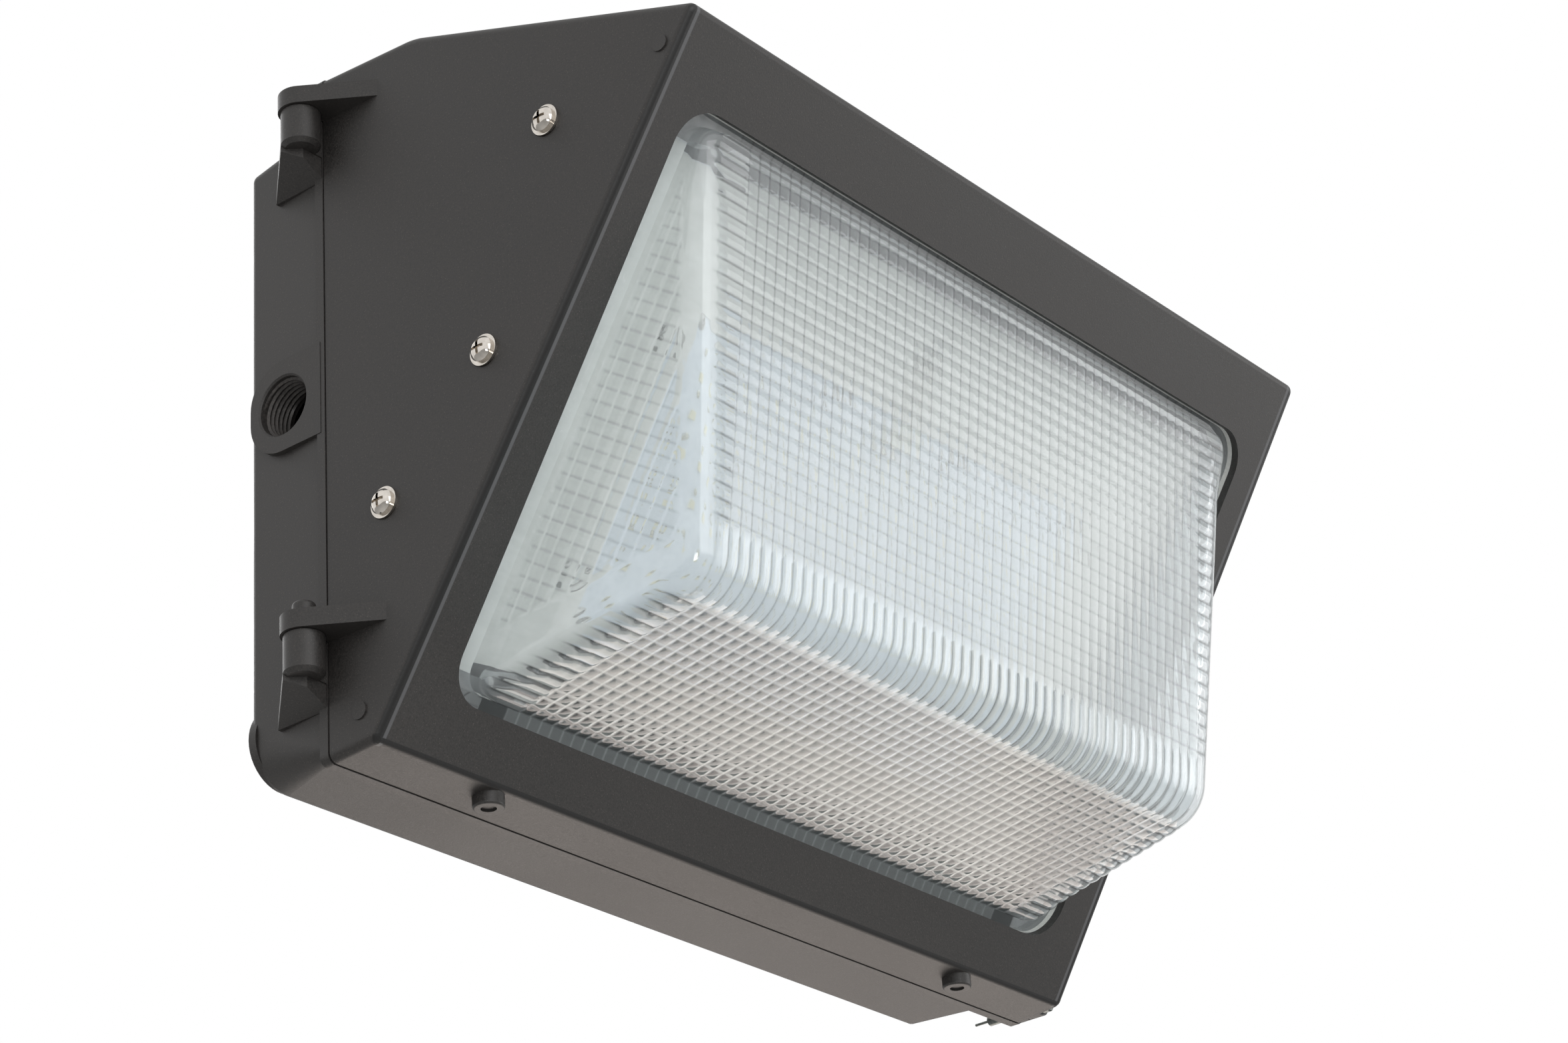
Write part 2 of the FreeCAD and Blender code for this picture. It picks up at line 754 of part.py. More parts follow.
def hinge_barrel(lug_height):
    """Barrel under a lug, on a sloping gusset, with the web that joins it to the box."""
    top = lug_height - lug_lift
    barrel = rod(at(-hinge_x, hinge_behind, top - barrel_length), Z_AXIS, barrel_length, barrel_radius)
    foot = top - barrel_length
    foot_rim = [edge for edge in barrel.Edges if abs(edge.BoundBox.ZMax - (foot_z + foot)) < NEAR
                and edge.BoundBox.ZLength < NEAR]
    barrel = barrel.makeChamfer(barrel_chamfer, foot_rim)
    inner_x = -box_half_left + wall
    web = block(at(-hinge_x, half_gap, foot), at(inner_x, hinge_behind + barrel_radius, top))
    wall_foot = foot - gusset_drop
    front = half_gap + gusset_front_gap
    plan = polygon([at(inner_x, front, wall_foot), at(-hinge_x, front, wall_foot),
                    at(-hinge_x - barrel_radius * GUSSET_OUT, hinge_behind + barrel_radius * GUSSET_BACK, wall_foot),
                    at(-box_half_left, gusset_reach_back, wall_foot), at(inner_x, gusset_reach_back, wall_foot)])
    wedge = plan.extrude(Vector(0, 0, foot + barrel_chamfer - wall_foot))
    outer_x = -hinge_x - barrel_radius
    under = polygon([at(-box_half_left, -PAST, wall_foot), at(outer_x, -PAST, foot),
                     at(outer_x, -PAST, wall_foot - PAST), at(-box_half_left, -PAST, wall_foot - PAST)])
    over_drop = gusset_drop - gusset_thickness
    over_start = hinge_behind + barrel_radius
    over = polygon([at(-FAR / 2, over_start, foot + barrel_chamfer),
                    at(-FAR / 2, gusset_reach_back + 1, foot - over_drop),
                    at(-FAR / 2, gusset_reach_back + 1, top + PAST), at(-FAR / 2, over_start, top + PAST)])
    wedge = wedge.cut(under.extrude(Vector(0, FAR, 0))).cut(over.extrude(Vector(FAR, 0, 0)))
    return [barrel, web, wedge]


def pintle(lug_height, top):
    """Hinge pin cast on its barrel, with a rounded end."""
    start = lug_height - lug_lift - barrel_length / 2
    pin = rod(at(-hinge_x, hinge_behind, start), Z_AXIS, top - start, pintle_radius)
    tip = [edge for edge in pin.Edges if abs(edge.BoundBox.ZMin - (foot_z + top)) < NEAR]
    return pin.makeFillet(pintle_dome, tip)


def bolt_places():
    """Wall bolt positions across and up from the bolts' centre."""
    return [(sx * bolt_spacing_x / 2, sz * bolt_spacing_z / 2) for sx in (-1, 1) for sz in (-1, 1)]


def floor_pads():
    """Pads and bosses on the box's floor: wall bolts, rear entry, ground screw, driver and connectors."""
    inward = Vector(0, -1, 0)
    pads = [rod(Vector(x, -wall / 2, z), inward, bolt_pad_height + wall / 2, bolt_pad_radius)
            for x, z in bolt_places()]
    pads.append(rod(Vector(0, -wall / 2, 0), inward, rear_hub_length + wall / 2, rear_hub_radius))
    pads.append(rod(at(ground_x, box_floor + wall / 2, ground_height), inward, ground_boss_height + wall / 2,
                    ground_boss_radius))
    pads += [rod(at(x, box_floor + wall / 2, up), inward, driver_pad_height + wall / 2, driver_tab / 2)
             for x, up in driver_screw_places()]
    root = box_floor + wall / 2
    pads.append(block(at(terminal_x(), driver_floor(), terminal_foot()),
                      at(terminal_x() + terminal_length, root, terminal_foot() + terminal_height)))
    pads.append(block(at(socket_x(), driver_floor(), socket_foot()),
                      at(socket_x() + plug_body_width, root, socket_foot() + plug_body_length)))
    return pads


def box_holes():
    """Holes of the back box: conduit entries, wall bolts, closing screws, ground screw and driver screws."""
    inward = Vector(0, -1, 0)
    holes = [conduit_hole(outer_x, way) for outer_x, way in hub_faces()]
    holes.append(rod(Vector(0, 1, 0), inward, wall + rear_hub_length + 2, conduit_radius))
    holes += [rod(Vector(x, 1, z), inward, wall + bolt_pad_height + 2, bolt_hole_radius)
              for x, z in bolt_places()]
    holes += [rod(at(ear_x, -1, height), Y_AXIS, ear_thickness + 2, closing_screw_radius + closing_hole_gap)
              for height in ear_heights()]
    holes.append(rod(at(ground_x, box_floor - ground_boss_height - 1, ground_height), Y_AXIS,
                     ground_boss_height + 1, small_screw_radius + tap_gap))
    holes += [rod(at(x, driver_floor() - 1, up), Y_AXIS, driver_pad_height + wall / 2 + 1,
                  small_screw_radius + tap_gap) for x, up in driver_screw_places()]
    return holes


def back_box():
    """Die-cast back box: a shallow dish with a broad rim, the hinge pins, conduit entries and screw pads."""
    body = box_form(0.0, half_gap, back_depth)
    back_rim = [edge for edge in body.Edges if touches(edge, lambda point: abs(point.y) < NEAR)]
    body = body.makeFillet(box_back_radius, back_rim)
    rim = upright_plate(-half_width - rim_proud, -rim_proud, half_width + rim_proud, housing_height + rim_proud,
                        corner_radius, half_gap, half_gap + rim_thickness)
    ears = [ear(height, half_gap, half_gap + ear_thickness) for height in ear_heights()]
    hubs = [hub(outer_x, way) for outer_x, way in hub_faces()]
    hinge = hinge_barrel(upper_lug_height) + hinge_barrel(lower_lug_height)
    hinge += [pintle(upper_lug_height, upper_lug_height + lug_thickness - upper_pintle_short),
              pintle(lower_lug_height, lower_lug_height + lug_thickness + lower_pintle_proud)]
    outside = fuse([body, rim, box_foot_pad()] + ears + hinge)
    hollow = box_form(wall, half_gap + rim_thickness, box_floor)
    land_hollow = upright_plate(-half_width + rim_land, rim_land, box_half_right - wall, box_height - wall,
                                box_corner_radius, 0.0, half_gap + rim_thickness + 1.0)
    shell = fuse([cut(outside, [hollow, land_hollow])] + hubs + floor_pads())
    outline = (-half_width, 0.0, half_width, housing_height)
    groove = ring_plate(outline, gasket_inset, gasket_width, corner_radius, 0.0, half_gap + gasket_groove_depth)
    wall_side = Part.makeBox(FAR, FAR, FAR, Vector(-FAR / 2, 0, -FAR / 2))
    return cut(shell, [groove, wall_side] + box_holes())


def door_gasket():
    """Silicone ring in the rim's groove, against which the front housing closes."""
    outline = (-half_width, 0.0, half_width, housing_height)
    front = -half_gap + gasket_face_gap
    return ring_plate(outline, gasket_inset + gasket_side_gap, gasket_width - 2 * gasket_side_gap, corner_radius,
                      front, half_gap + gasket_groove_depth)


def hexagon(across):
    """Flat hexagon round the origin, by the distance across its flats."""
    return polygon([Vector(math.cos(math.radians(60 * i)), math.sin(math.radians(60 * i)), 0)
                    .multiply(across / math.sqrt(3.0)) for i in range(6)])


def conduit_plug():
    """Threaded plug with a hexagon socket, its outer face at the origin and its body along -Z."""
    body = rod(Vector(0, 0, 0), Vector(0, 0, -1), plug_length, conduit_radius - plug_radial_gap)
    return body.cut(hexagon(plug_socket_across).extrude(Vector(0, 0, -plug_socket_depth)))


def conduit_plugs():
    """Close-up plugs in the right and rear entries. The left entry takes the supply and stays open."""
    right_x = box_half_right + hub_proud - plug_recess
    right = aimed(conduit_plug(), at(right_x, conduit_behind, conduit_height), X_AXIS)
    rear = aimed(conduit_plug(), Vector(0, -plug_recess, 0), Y_AXIS)
    return group([right, rear])


# ---- driver, terminal block and ground screw ----

def driver_screw_places():
    """Centres of the driver's two fixing screws."""
    up = driver_foot + driver_height / 2
    return ((driver_left - driver_tab / 2, up), (driver_left + driver_length + driver_tab / 2, up))


def driver_floor():
    """Depth of the driver's back, on its pads."""
    return box_floor - driver_pad_height


def terminal_x():
    """Left end of the terminal block."""
    return driver_left - terminal_gap - terminal_length


def terminal_foot():
    """Foot of the terminal block, set so that its poles face the driver's leads."""
    return driver_foot + (driver_height - terminal_height) / 2


def output_x():
    """Distance across of the output leads' middle line."""
    return driver_left + driver_length - output_offset


def socket_x():
    """Left side of the output connector."""
    return output_x() - plug_body_width / 2


def socket_foot():
    """Foot of the output connector, below the driver."""
    return driver_foot - output_run - plug_body_length


def board_face():
    """Depth of the front face of the driver's board."""
    return driver_floor() - driver_sheet - driver_board_lift - driver_board_thickness


def lead_depth():
    """Depth at which the driver's leads lie, on the face of its board."""
    return board_face() - lead_radius - tap_gap


def pole_heights():
    """Heights of the terminal block's poles."""
    middle = driver_foot + driver_height / 2
    return [middle + terminal_pitch * (i - (terminal_poles - 1) / 2.0) for i in range(terminal_poles)]


def output_places():
    """Distances across of the two output leads."""
    return [output_x() - lead_pitch / 2, output_x() + lead_pitch / 2]


def driver_case():
    """Driver case: a folded sheet tray, open to the front, with a fixing tab at each end."""
    back = driver_floor()
    front = back - driver_depth + driver_sheet
    high_x = driver_left + driver_length
    top = driver_foot + driver_height
    tray = block(at(driver_left, front, driver_foot), at(high_x, back, top))
    inner = block(at(driver_left + driver_sheet, front - 1, driver_foot + driver_sheet),
                  at(high_x - driver_sheet, back - driver_sheet, top - driver_sheet))
    tabs = [block(at(low, back - driver_sheet, driver_foot + driver_height / 2 - driver_tab / 2),
                  at(low + driver_tab + driver_sheet, back, driver_foot + driver_height / 2 + driver_tab / 2))
            for low in (driver_left - driver_tab, high_x - driver_sheet)]
    case = fuse([tray.cut(inner)] + tabs)
    holes = [rod(at(x, back - driver_sheet - 1, up), Y_AXIS, driver_sheet + 2, small_screw_radius + hole_gap)
             for x, up in driver_screw_places()]
    holes += [rod(at(driver_left - 1, lead_depth(), up), X_AXIS, driver_sheet + 2, lead_radius + tap_gap)
              for up in pole_heights()]
    holes += [rod(at(x, lead_depth(), driver_foot - 1), Z_AXIS, driver_sheet + 2, lead_radius + tap_gap)
              for x in output_places()]
    return cut(case, holes)


def driver_lid():
    """Flat lid on the driver case."""
    front = driver_floor() - driver_depth
    return block(at(driver_left, front, driver_foot),
                 at(driver_left + driver_length, front + driver_sheet, driver_foot + driver_height))


def driver_board():
    """Circuit board of the driver, on two rails folded from its insulating sleeve."""
    inset = driver_sheet + driver_board_gap
    face = board_face()
    board = block(at(driver_left + inset, face, driver_foot + inset),
                  at(driver_left + driver_length - inset, face + driver_board_thickness,
                     driver_foot + driver_height - inset))
    rail_back = driver_floor() - driver_sheet
    rails = [block(at(driver_left + inset, face + driver_board_thickness, foot),
                   at(driver_left + driver_length - inset, rail_back, foot + driver_rail_width))
             for foot in (driver_foot + inset, driver_foot + driver_height - inset - driver_rail_width)]
    return fuse([board] + rails)


def component_place(from_end, shift):
    """Place on the driver's board, from its left end and from its middle line."""
    return at(driver_left + from_end, board_face(), driver_foot + driver_height / 2 + shift)


def component_bar(from_end, shift, height, radius):
    """Round component that stands on the driver's board."""
    return rod(component_place(from_end, shift), Vector(0, -1, 0), height, radius)


def component_block(from_end, shift, length, width, height):
    """Square component that stands on the driver's board, from its left side and its middle."""
    foot = component_place(from_end, shift - width / 2)
    return block(foot.add(Vector(0, -height, 0)), foot.add(Vector(length, 0, width)))


def driver_components():
    """Transformer, choke, capacitors and heat spreader, each somewhat below the height of the transformer."""
    room = driver_depth - 2 * driver_sheet - driver_board_lift - driver_board_thickness - component_gap
    transformer = component_block(transformer_from_end, transformer_shift, transformer_length, transformer_width, room)
    spreader = component_block(spreader_from_end, -spreader_shift, spreader_length, spreader_thickness,
                               room - spreader_below)
    choke = component_bar(choke_from_end, -choke_radius, room - choke_below, choke_radius)
    input_capacitor = component_bar(input_capacitor_from_end, input_capacitor_shift,
                                    room - input_capacitor_below, input_capacitor_radius)
    output_capacitors = [component_bar(output_capacitor_from_end + output_capacitor_pitch * i, output_capacitor_shift,
                                       room - output_capacitor_below, output_capacitor_radius) for i in (0, 1)]
    return group([transformer, choke, input_capacitor, spreader] + output_capacitors)


def driver_screws():
    """Two screws that hold the driver to its pads."""
    screw = pan_screw(small_screw_radius, driver_pad_height + wall / 2, small_head_radius, small_head_height)
    return group([aimed(screw, at(x, driver_floor() - driver_sheet, up), Vector(0, -1, 0))
                  for x, up in driver_screw_places()])


def terminal_block():
    """Plastic terminal block for the supply, with one pole for each lead."""
    back = driver_floor()
    low = at(terminal_x(), back - terminal_depth, terminal_foot())
    body = block(low, at(terminal_x() + terminal_length, back, terminal_foot() + terminal_height))
    middle_x = terminal_x() + terminal_length / 2
    wire_holes = [rod(at(terminal_x() - 1, lead_depth(), up), X_AXIS, terminal_length + 2, terminal_hole_radius)
                  for up in pole_heights()]
    well_depth = terminal_screw_sink + terminal_screw_length
    screw_wells = [rod(at(middle_x, back - terminal_depth - 1, up), Y_AXIS, well_depth + 1,
                       terminal_screw_radius + tap_gap) for up in pole_heights()]
    return cut(body, wire_holes + screw_wells)


def terminal_screws():
    """Clamp screws of the terminal block."""
    middle_x = terminal_x() + terminal_length / 2
    face = driver_floor() - terminal_depth + terminal_screw_sink
    slot = block(Vector(-terminal_screw_radius, -terminal_slot_width / 2, -terminal_slot_depth),
                 Vector(terminal_screw_radius, terminal_slot_width / 2, 1))
    head = rod(Vector(0, 0, 0), Vector(0, 0, -1), terminal_screw_length, terminal_screw_radius).cut(slot)
    return group([aimed(head, at(middle_x, face, up), Vector(0, -1, 0)) for up in pole_heights()])


def input_leads():
    """Three short leads from the driver's board into the terminal block."""
    start = terminal_x() + terminal_length / 2
    end = driver_left + driver_sheet + driver_board_gap + lead_end
    return group([rod(at(start, lead_depth(), up), X_AXIS, end - start, lead_radius) for up in pole_heights()])


def output_leads():
    """Two short leads from the driver's board down to its output connector."""
    start = driver_foot + driver_sheet + driver_board_gap + lead_end
    end = socket_foot() + plug_body_length - (plug_body_length - plug_mouth_depth) / 2
    return group([rod(at(x, lead_depth(), end), Z_AXIS, start - end, lead_radius) for x in output_places()])


def output_socket():
    """Connector half on the driver's output, on a pad of the back box, with its mouth downwards."""
    middle = lead_depth()
    low = at(socket_x(), middle - plug_body_height / 2, socket_foot())
    shell = block(low, at(socket_x() + plug_body_width, driver_floor(), socket_foot() + plug_body_length))
    mouth = block(at(socket_x() + plug_shell, middle - plug_body_height / 2 + plug_shell, socket_foot() - 1),
                  at(socket_x() + plug_body_width - plug_shell, middle + plug_body_height / 2 - plug_shell,
                     socket_foot() + plug_mouth_depth))
    hole_foot = socket_foot() + plug_mouth_depth - 1
    holes = [rod(at(x, middle, hole_foot), Z_AXIS, plug_body_length, lead_radius + tap_gap)
             for x in output_places()]
    return cut(shell, [mouth] + holes)


def ground_screw():
    """Hexagon ground screw with a washer, in its boss."""
    head = hexagon(ground_across).extrude(Vector(0, 0, ground_head_height))
    shank = rod(Vector(0, 0, 0), Vector(0, 0, -1),
                ground_boss_height + ground_washer_thickness - ground_screw_short, small_screw_radius)
    face = box_floor - ground_boss_height - ground_washer_thickness
    return aimed(fuse([head, shank]), at(ground_x, face, ground_height), Vector(0, -1, 0))


def ground_washer():
    """Cupped washer that clamps the ground lead."""
    start = at(ground_x, box_floor - ground_boss_height - ground_washer_thickness, ground_height)
    ring = rod(start, Y_AXIS, ground_washer_thickness, ground_washer_radius)
    return ring.cut(rod(start, Y_AXIS, ground_washer_thickness, small_screw_radius + hole_gap))


# ---- glass ----

def dome(inset):
    """Wedge of the refractor above the slanted face, moved in by an inset."""
    run = glass_back + inset + 1.0
    side = polygon([Vector(0, dome_foot, -run), Vector(0, dome_foot, 0), Vector(0, dome_ridge_up, dome_ridge_out),
                    Vector(0, dome_top, 0), Vector(0, dome_top, -run)])
    if inset:
        side = side.makeOffset2D(-inset, 2, False, False)
    side.translate(Vector(-FAR / 2, 0, 0))
    wide = dome_half_width - inset
    reach = dome_ridge_out * DOME_RUN
    narrow = wide - dome_side_draft * DOME_RUN
    span = polygon([Vector(-wide, 0, -2 * run), Vector(wide, 0, -2 * run), Vector(wide, 0, 0),
                    Vector(narrow, 0, reach), Vector(-narrow, 0, reach), Vector(-wide, 0, 0)])
    form = side.extrude(Vector(FAR, 0, 0)).common(span.extrude(Vector(0, FAR, 0)))
    ridge_level = max(vertex.Point.z for vertex in form.Vertexes) - 1.0

    def on_ridge(point):
        return point.z > ridge_level

    form = form.makeFillet(max(dome_ridge_radius - inset, 2.0),
                           [edge for edge in form.Edges if touches(edge, on_ridge)])
    sides = [edge for edge in form.Edges
             if edge.BoundBox.XLength < 0.5 * edge.Length and edge.BoundBox.ZMin > -3 * inset - NEAR
             and edge.BoundBox.ZMax > ridge_level / 2]
    return form.makeFillet(max(dome_edge_radius - inset, 2.0), sides)


def refractor():
    """Pressed glass refractor: a hollow wedge on a flat flange that lies behind the slanted face."""
    front = -wall - lens_gasket_thickness
    flange = plate(-opening_half_width - glass_flange_lap, opening_foot - glass_flange_lap,
                   opening_half_width + glass_flange_lap, opening_top + glass_flange_lap,
                   opening_corner, -glass_back, front)
    below = Part.makeBox(FAR, FAR, FAR, Vector(-FAR / 2, -FAR / 2, -glass_back - FAR))
    outer = dome(0.0).cut(below)
    form = flange.fuse(outer)
    return on_face(form.cut(dome(glass_wall)).removeSplitter())


def lens_gasket():
    """Flat silicone ring between the glass flange and the slanted face."""
    outer = plate(-opening_half_width - lens_gasket_lap, opening_foot - lens_gasket_lap,
                  opening_half_width + lens_gasket_lap, opening_top + lens_gasket_lap,
                  opening_corner, -wall - lens_gasket_thickness, -wall)
    inner = plate(-opening_half_width, opening_foot, opening_half_width, opening_top, opening_corner,
                  -wall - lens_gasket_thickness, -wall)
    return on_face(outer.cut(inner))


def lens_clips():
    """Flat steel clips that press the glass flange onto its gasket."""
    clips = []
    for x, up, way in clip_places():
        bite = clip_boss_radius + clip_boss_clear + clip_bite
        low = min(up - way * clip_tail, up + way * bite)
        high = max(up - way * clip_tail, up + way * bite)
        clip = plate(x - clip_width / 2, low, x + clip_width / 2, high, clip_corner,
                     -glass_back - clip_thickness, -glass_back)
        hole = rod(Vector(x, up, -glass_back - clip_thickness - 1), Z_AXIS, clip_thickness + 2,
                   clip_screw_radius + hole_gap)
        clips.append(on_face(clip.cut(hole)))
    return group(clips)


def lens_clip_screws():
    """Pan-head screws of the glass clips."""
    screw = pan_screw(clip_screw_radius, clip_screw_length, clip_head_radius, clip_head_height)
    inward = FACE_PLACE.Rotation.multVec(Vector(0, 0, -1))
    return group([aimed(screw, face_point(x, up, -glass_back - clip_thickness), inward)
                  for x, up, _ in clip_places()])


# ---- lamp tray, heat sink and light source ----

def tray_side():
    """Left side wing of the lamp tray, flat against the pads of the housing."""
    outline = [Vector(-tray_half_width, tray_side_foot, -tray_front),
               Vector(-tray_half_width, tray_side_top, -tray_front),
               Vector(-tray_half_width, tray_side_top, -tray_side_back),
               Vector(-tray_half_width, tray_side_foot, -tray_side_back)]
    return on_face(polygon(outline).extrude(Vector(tray_thickness, 0, 0)))


def board_screw_places():
    """Screw positions round the rim of the light board."""
    inset = reflector_lap / 2 + small_head_radius
    across = board_half_width - inset
    columns = [-across + 2 * across * i / (board_screw_columns - 1) for i in range(board_screw_columns)]
    return [(x, up) for x in columns for up in (board_foot + inset, board_top - inset)]


def heat_sink_screw_places():
    """Screw positions where the heat sink laps behind the tray."""
    across = board_half_width + heat_sink_lap / 2
    return [(x, up) for x in (-across, across)
            for up in (board_foot + heat_sink_screw_inset, board_top - heat_sink_screw_inset)]


def lamp_tray():
    """Sheet aluminium tray, screwed between the side walls, with a window that the heat sink fills."""
    front_plate = plate(-tray_half_width, tray_foot, tray_half_width, tray_top, tray_corner,
                        -tray_back, -tray_front)
    window = plate(-board_half_width - tray_window_gap, board_foot - tray_window_gap,
                   board_half_width + tray_window_gap, board_top + tray_window_gap, window_corner,
                   -tray_back - 1, -tray_front + 1)
    lead_hole = rod(Vector(0, lead_hole_up(), -tray_back - 1), Z_AXIS, tray_thickness + 2, lead_hole_radius())
    screw_holes = [rod(Vector(x, up, -tray_back - 1), Z_AXIS, tray_thickness + 2, small_screw_radius + hole_gap)
                   for x, up in heat_sink_screw_places()]
    front_plate = on_face(cut(front_plate, [window, lead_hole] + screw_holes))
    wings = both_sides([tray_side()])
    side_holes = both_sides([rod(Vector(-tray_half_width - 1, place.y, place.z), X_AXIS, tray_thickness + 2,
                                 side_screw_radius + tap_gap) for place in side_screw_points()])
    return cut(fuse([front_plate] + wings), side_holes)


def heat_sink():
    """Extruded heat sink: a base behind the light board, with upright fins on its back."""
    low_x = -board_half_width - heat_sink_lap
    foot = board_foot - heat_sink_lap
    top = board_top + heat_sink_lap
    base = plate(low_x, foot, -low_x, top, board_corner, -tray_back - heat_sink_base, -tray_back)
    raised = plate(-board_half_width, board_foot, board_half_width, board_top, board_corner,
                   -tray_back - heat_sink_base / 2, -pad_back)
    fin_back = -tray_back - heat_sink_base - fin_height
    pitch = (-2 * low_x - fin_thickness) / (fin_count - 1)
    fins = [Part.makeBox(fin_thickness, top - foot, fin_height + 1, Vector(low_x + pitch * i, foot, fin_back))
            for i in range(fin_count)]
    body = fuse([base, raised] + fins) if pad_back < tray_back else fuse([base] + fins)
    tap_foot = -tray_back - heat_sink_base + heat_sink_tap_floor
    taps = [rod(Vector(x, up, tap_foot), Z_AXIS, heat_sink_base + 2, small_screw_radius + tap_gap)
            for x, up in board_screw_places() + heat_sink_screw_places()]
    return on_face(cut(body, taps))


def heat_sink_screws():
    """Screws from the tray's front into the heat sink."""
    length = tray_thickness + heat_sink_base - heat_sink_screw_short
    screw = pan_screw(small_screw_radius, length, small_head_radius, small_head_height)
    outward = FACE_PLACE.Rotation.multVec(Z_AXIS)
    return group([aimed(screw, face_point(x, up, -tray_front), outward) for x, up in heat_sink_screw_places()])


def thermal_pad():
    """Grey thermal pad under the light board."""
    sheet = plate(-board_half_width, board_foot, board_half_width, board_top, board_corner, -pad_back, -board_back)
    holes = [rod(Vector(x, up, -pad_back - 1), Z_AXIS, pad_thickness + 2, small_screw_radius + hole_gap)
             for x, up in board_screw_places()]
    return on_face(cut(sheet, holes))


def led_board():
    """White aluminium-core board of the light source."""
    sheet = plate(-board_half_width, board_foot, board_half_width, board_top, board_corner,
                  -board_back, -tray_front)
    holes = [rod(Vector(x, up, -board_back - 1), Z_AXIS, board_thickness + 2, small_screw_radius + hole_gap)
             for x, up in board_screw_places()]
    return on_face(cut(sheet, holes))


def emitter_places():
    """Centres of the light-emitting packages on the board."""
    across = board_half_width - emitter_margin_x
    foot = board_foot + emitter_margin_y
    rise = board_top - header_length - emitter_margin_y - foot
    return [(-across + 2 * across * i / (emitter_columns - 1), foot + rise * j / (emitter_rows - 1))
            for i in range(emitter_columns) for j in range(emitter_rows)]


def led_emitters():
    """Small square light-emitting packages, soldered on the board."""
    half = emitter_size / 2
    return group([on_face(Part.makeBox(emitter_size, emitter_size, emitter_height,
                                       Vector(x - half, up - half, -tray_front))) for x, up in emitter_places()])


def board_screws():
    """Screws that clamp the reflector's rim, the board and its pad to the heat sink."""
    length = board_thickness + pad_thickness + board_screw_bite
    screw = pan_screw(small_screw_radius, length, small_head_radius, small_head_height)
    outward = FACE_PLACE.Rotation.multVec(Z_AXIS)
    return group([aimed(screw, face_point(x, up, -tray_front), outward) for x, up in board_screw_places()])


def reflector():
    """White reflector sheet that frames the light board and covers the tray."""
    sheet = plate(-reflector_half_width, tray_foot, reflector_half_width, reflector_top, tray_corner,
                  -tray_front, -tray_front + reflector_thickness)
    rim = reflector_lap / 2
    through = reflector_thickness + 2
    window = plate(-board_half_width + rim, board_foot + rim, board_half_width - rim, board_top - rim,
                   window_corner, -tray_front - 1, -tray_front - 1 + through)
    lead_hole = rod(Vector(0, lead_hole_up(), -tray_front - 1), Z_AXIS, through, lead_hole_radius())
    holes = [rod(Vector(x, up, -tray_front - 1), Z_AXIS, through, small_head_radius + hole_gap)
             for x, up in heat_sink_screw_places()]
    return on_face(cut(sheet, [window, lead_hole] + holes))


def lead_hole_up():
    """Place up the slanted face where the leads pass back through the tray."""
    return board_top + lead_hole_rise


def lead_hole_radius():
    """Radius of the lead hole in the tray and reflector."""
    return lead_pitch / 2 + lead_radius + lead_hole_gap


def lead_level():
    """Level of the leads over the reflector, high enough for their bend to end above the grommet."""
    return -tray_front + reflector_thickness + grommet_flange_thickness + lead_bend + tap_gap


def board_connector():
    """Header at the top of the light board, into which its leads push."""
    foot = board_top - reflector_lap - header_length
    height = lead_level() + tray_front + lead_radius + header_roof
    body = Part.makeBox(header_width, header_length, height, Vector(-header_width / 2, foot, -tray_front))
    holes = [rod(Vector(x, foot + header_length / 2, lead_level()), Y_AXIS, header_length, lead_radius + tap_gap)
             for x in (-lead_pitch / 2, lead_pitch / 2)]
    return on_face(cut(body, holes))


def plug_front():
    """Level of the top of the plug behind the tray."""
    return -tray_back - grommet_flange_thickness - lead_drop


def board_leads():
    """Two leads from the board's header, over the reflector and back through the tray to their plug."""
    start_up = board_top - reflector_lap - header_length / 2 + tap_gap
    leads = []
    for x in (-lead_pitch / 2, lead_pitch / 2):
        points = [Vector(x, start_up, lead_level()), Vector(x, lead_hole_up(), lead_level()),
                  Vector(x, lead_hole_up(), plug_front())]
        leads.append(on_face(tube(points, lead_bend, lead_radius)))
    return group(leads)


def lead_grommet():
    """Rubber grommet in the tray round the two leads."""
    radius = lead_hole_radius() - tap_gap
    depth = tray_thickness + reflector_thickness + 2 * grommet_flange_thickness
    foot = -tray_back - grommet_flange_thickness
    body = rod(Vector(0, lead_hole_up(), foot), Z_AXIS, depth, radius)
    flanges = [rod(Vector(0, lead_hole_up(), level), Z_AXIS, grommet_flange_thickness, radius + grommet_flange)
               for level in (foot, -tray_front + reflector_thickness)]
    holes = [rod(Vector(x, lead_hole_up(), foot - 1), Z_AXIS, depth + 2, lead_radius)
             for x in (-lead_pitch / 2, lead_pitch / 2)]
    return on_face(cut(fuse([body] + flanges), holes))


def board_plug():
    """Connector half on the leads behind the tray, which mates with the driver's output."""
    return on_face(Part.makeBox(plug_body_width, plug_body_height, plug_body_length,
                                Vector(-plug_body_width / 2, lead_hole_up() - plug_body_height / 2,
                                       plug_front() - plug_body_length)))


# ---- screws that show ----

def side_screws():
    """Bright pan-head screws through the side walls into the lamp tray."""
    screw = pan_screw(side_screw_radius, side_screw_length, side_head_radius, side_head_height)
    return group(both_sides([aimed(screw, Vector(-side_seat_x(place) - side_washer_thickness, place.y, place.z),
                                   Vector(-1, 0, 0)) for place in side_screw_points()]))


def side_washers():
    """Washers under the side screws."""
    washers = []
    for place in side_screw_points():
        start = Vector(-side_seat_x(place), place.y, place.z)
        disc = rod(start, Vector(-1, 0, 0), side_washer_thickness, side_washer_radius)
        hole = rod(start, Vector(-1, 0, 0), side_washer_thickness, side_screw_radius + hole_gap)
        washers.append(disc.cut(hole))
    return group(both_sides(washers))


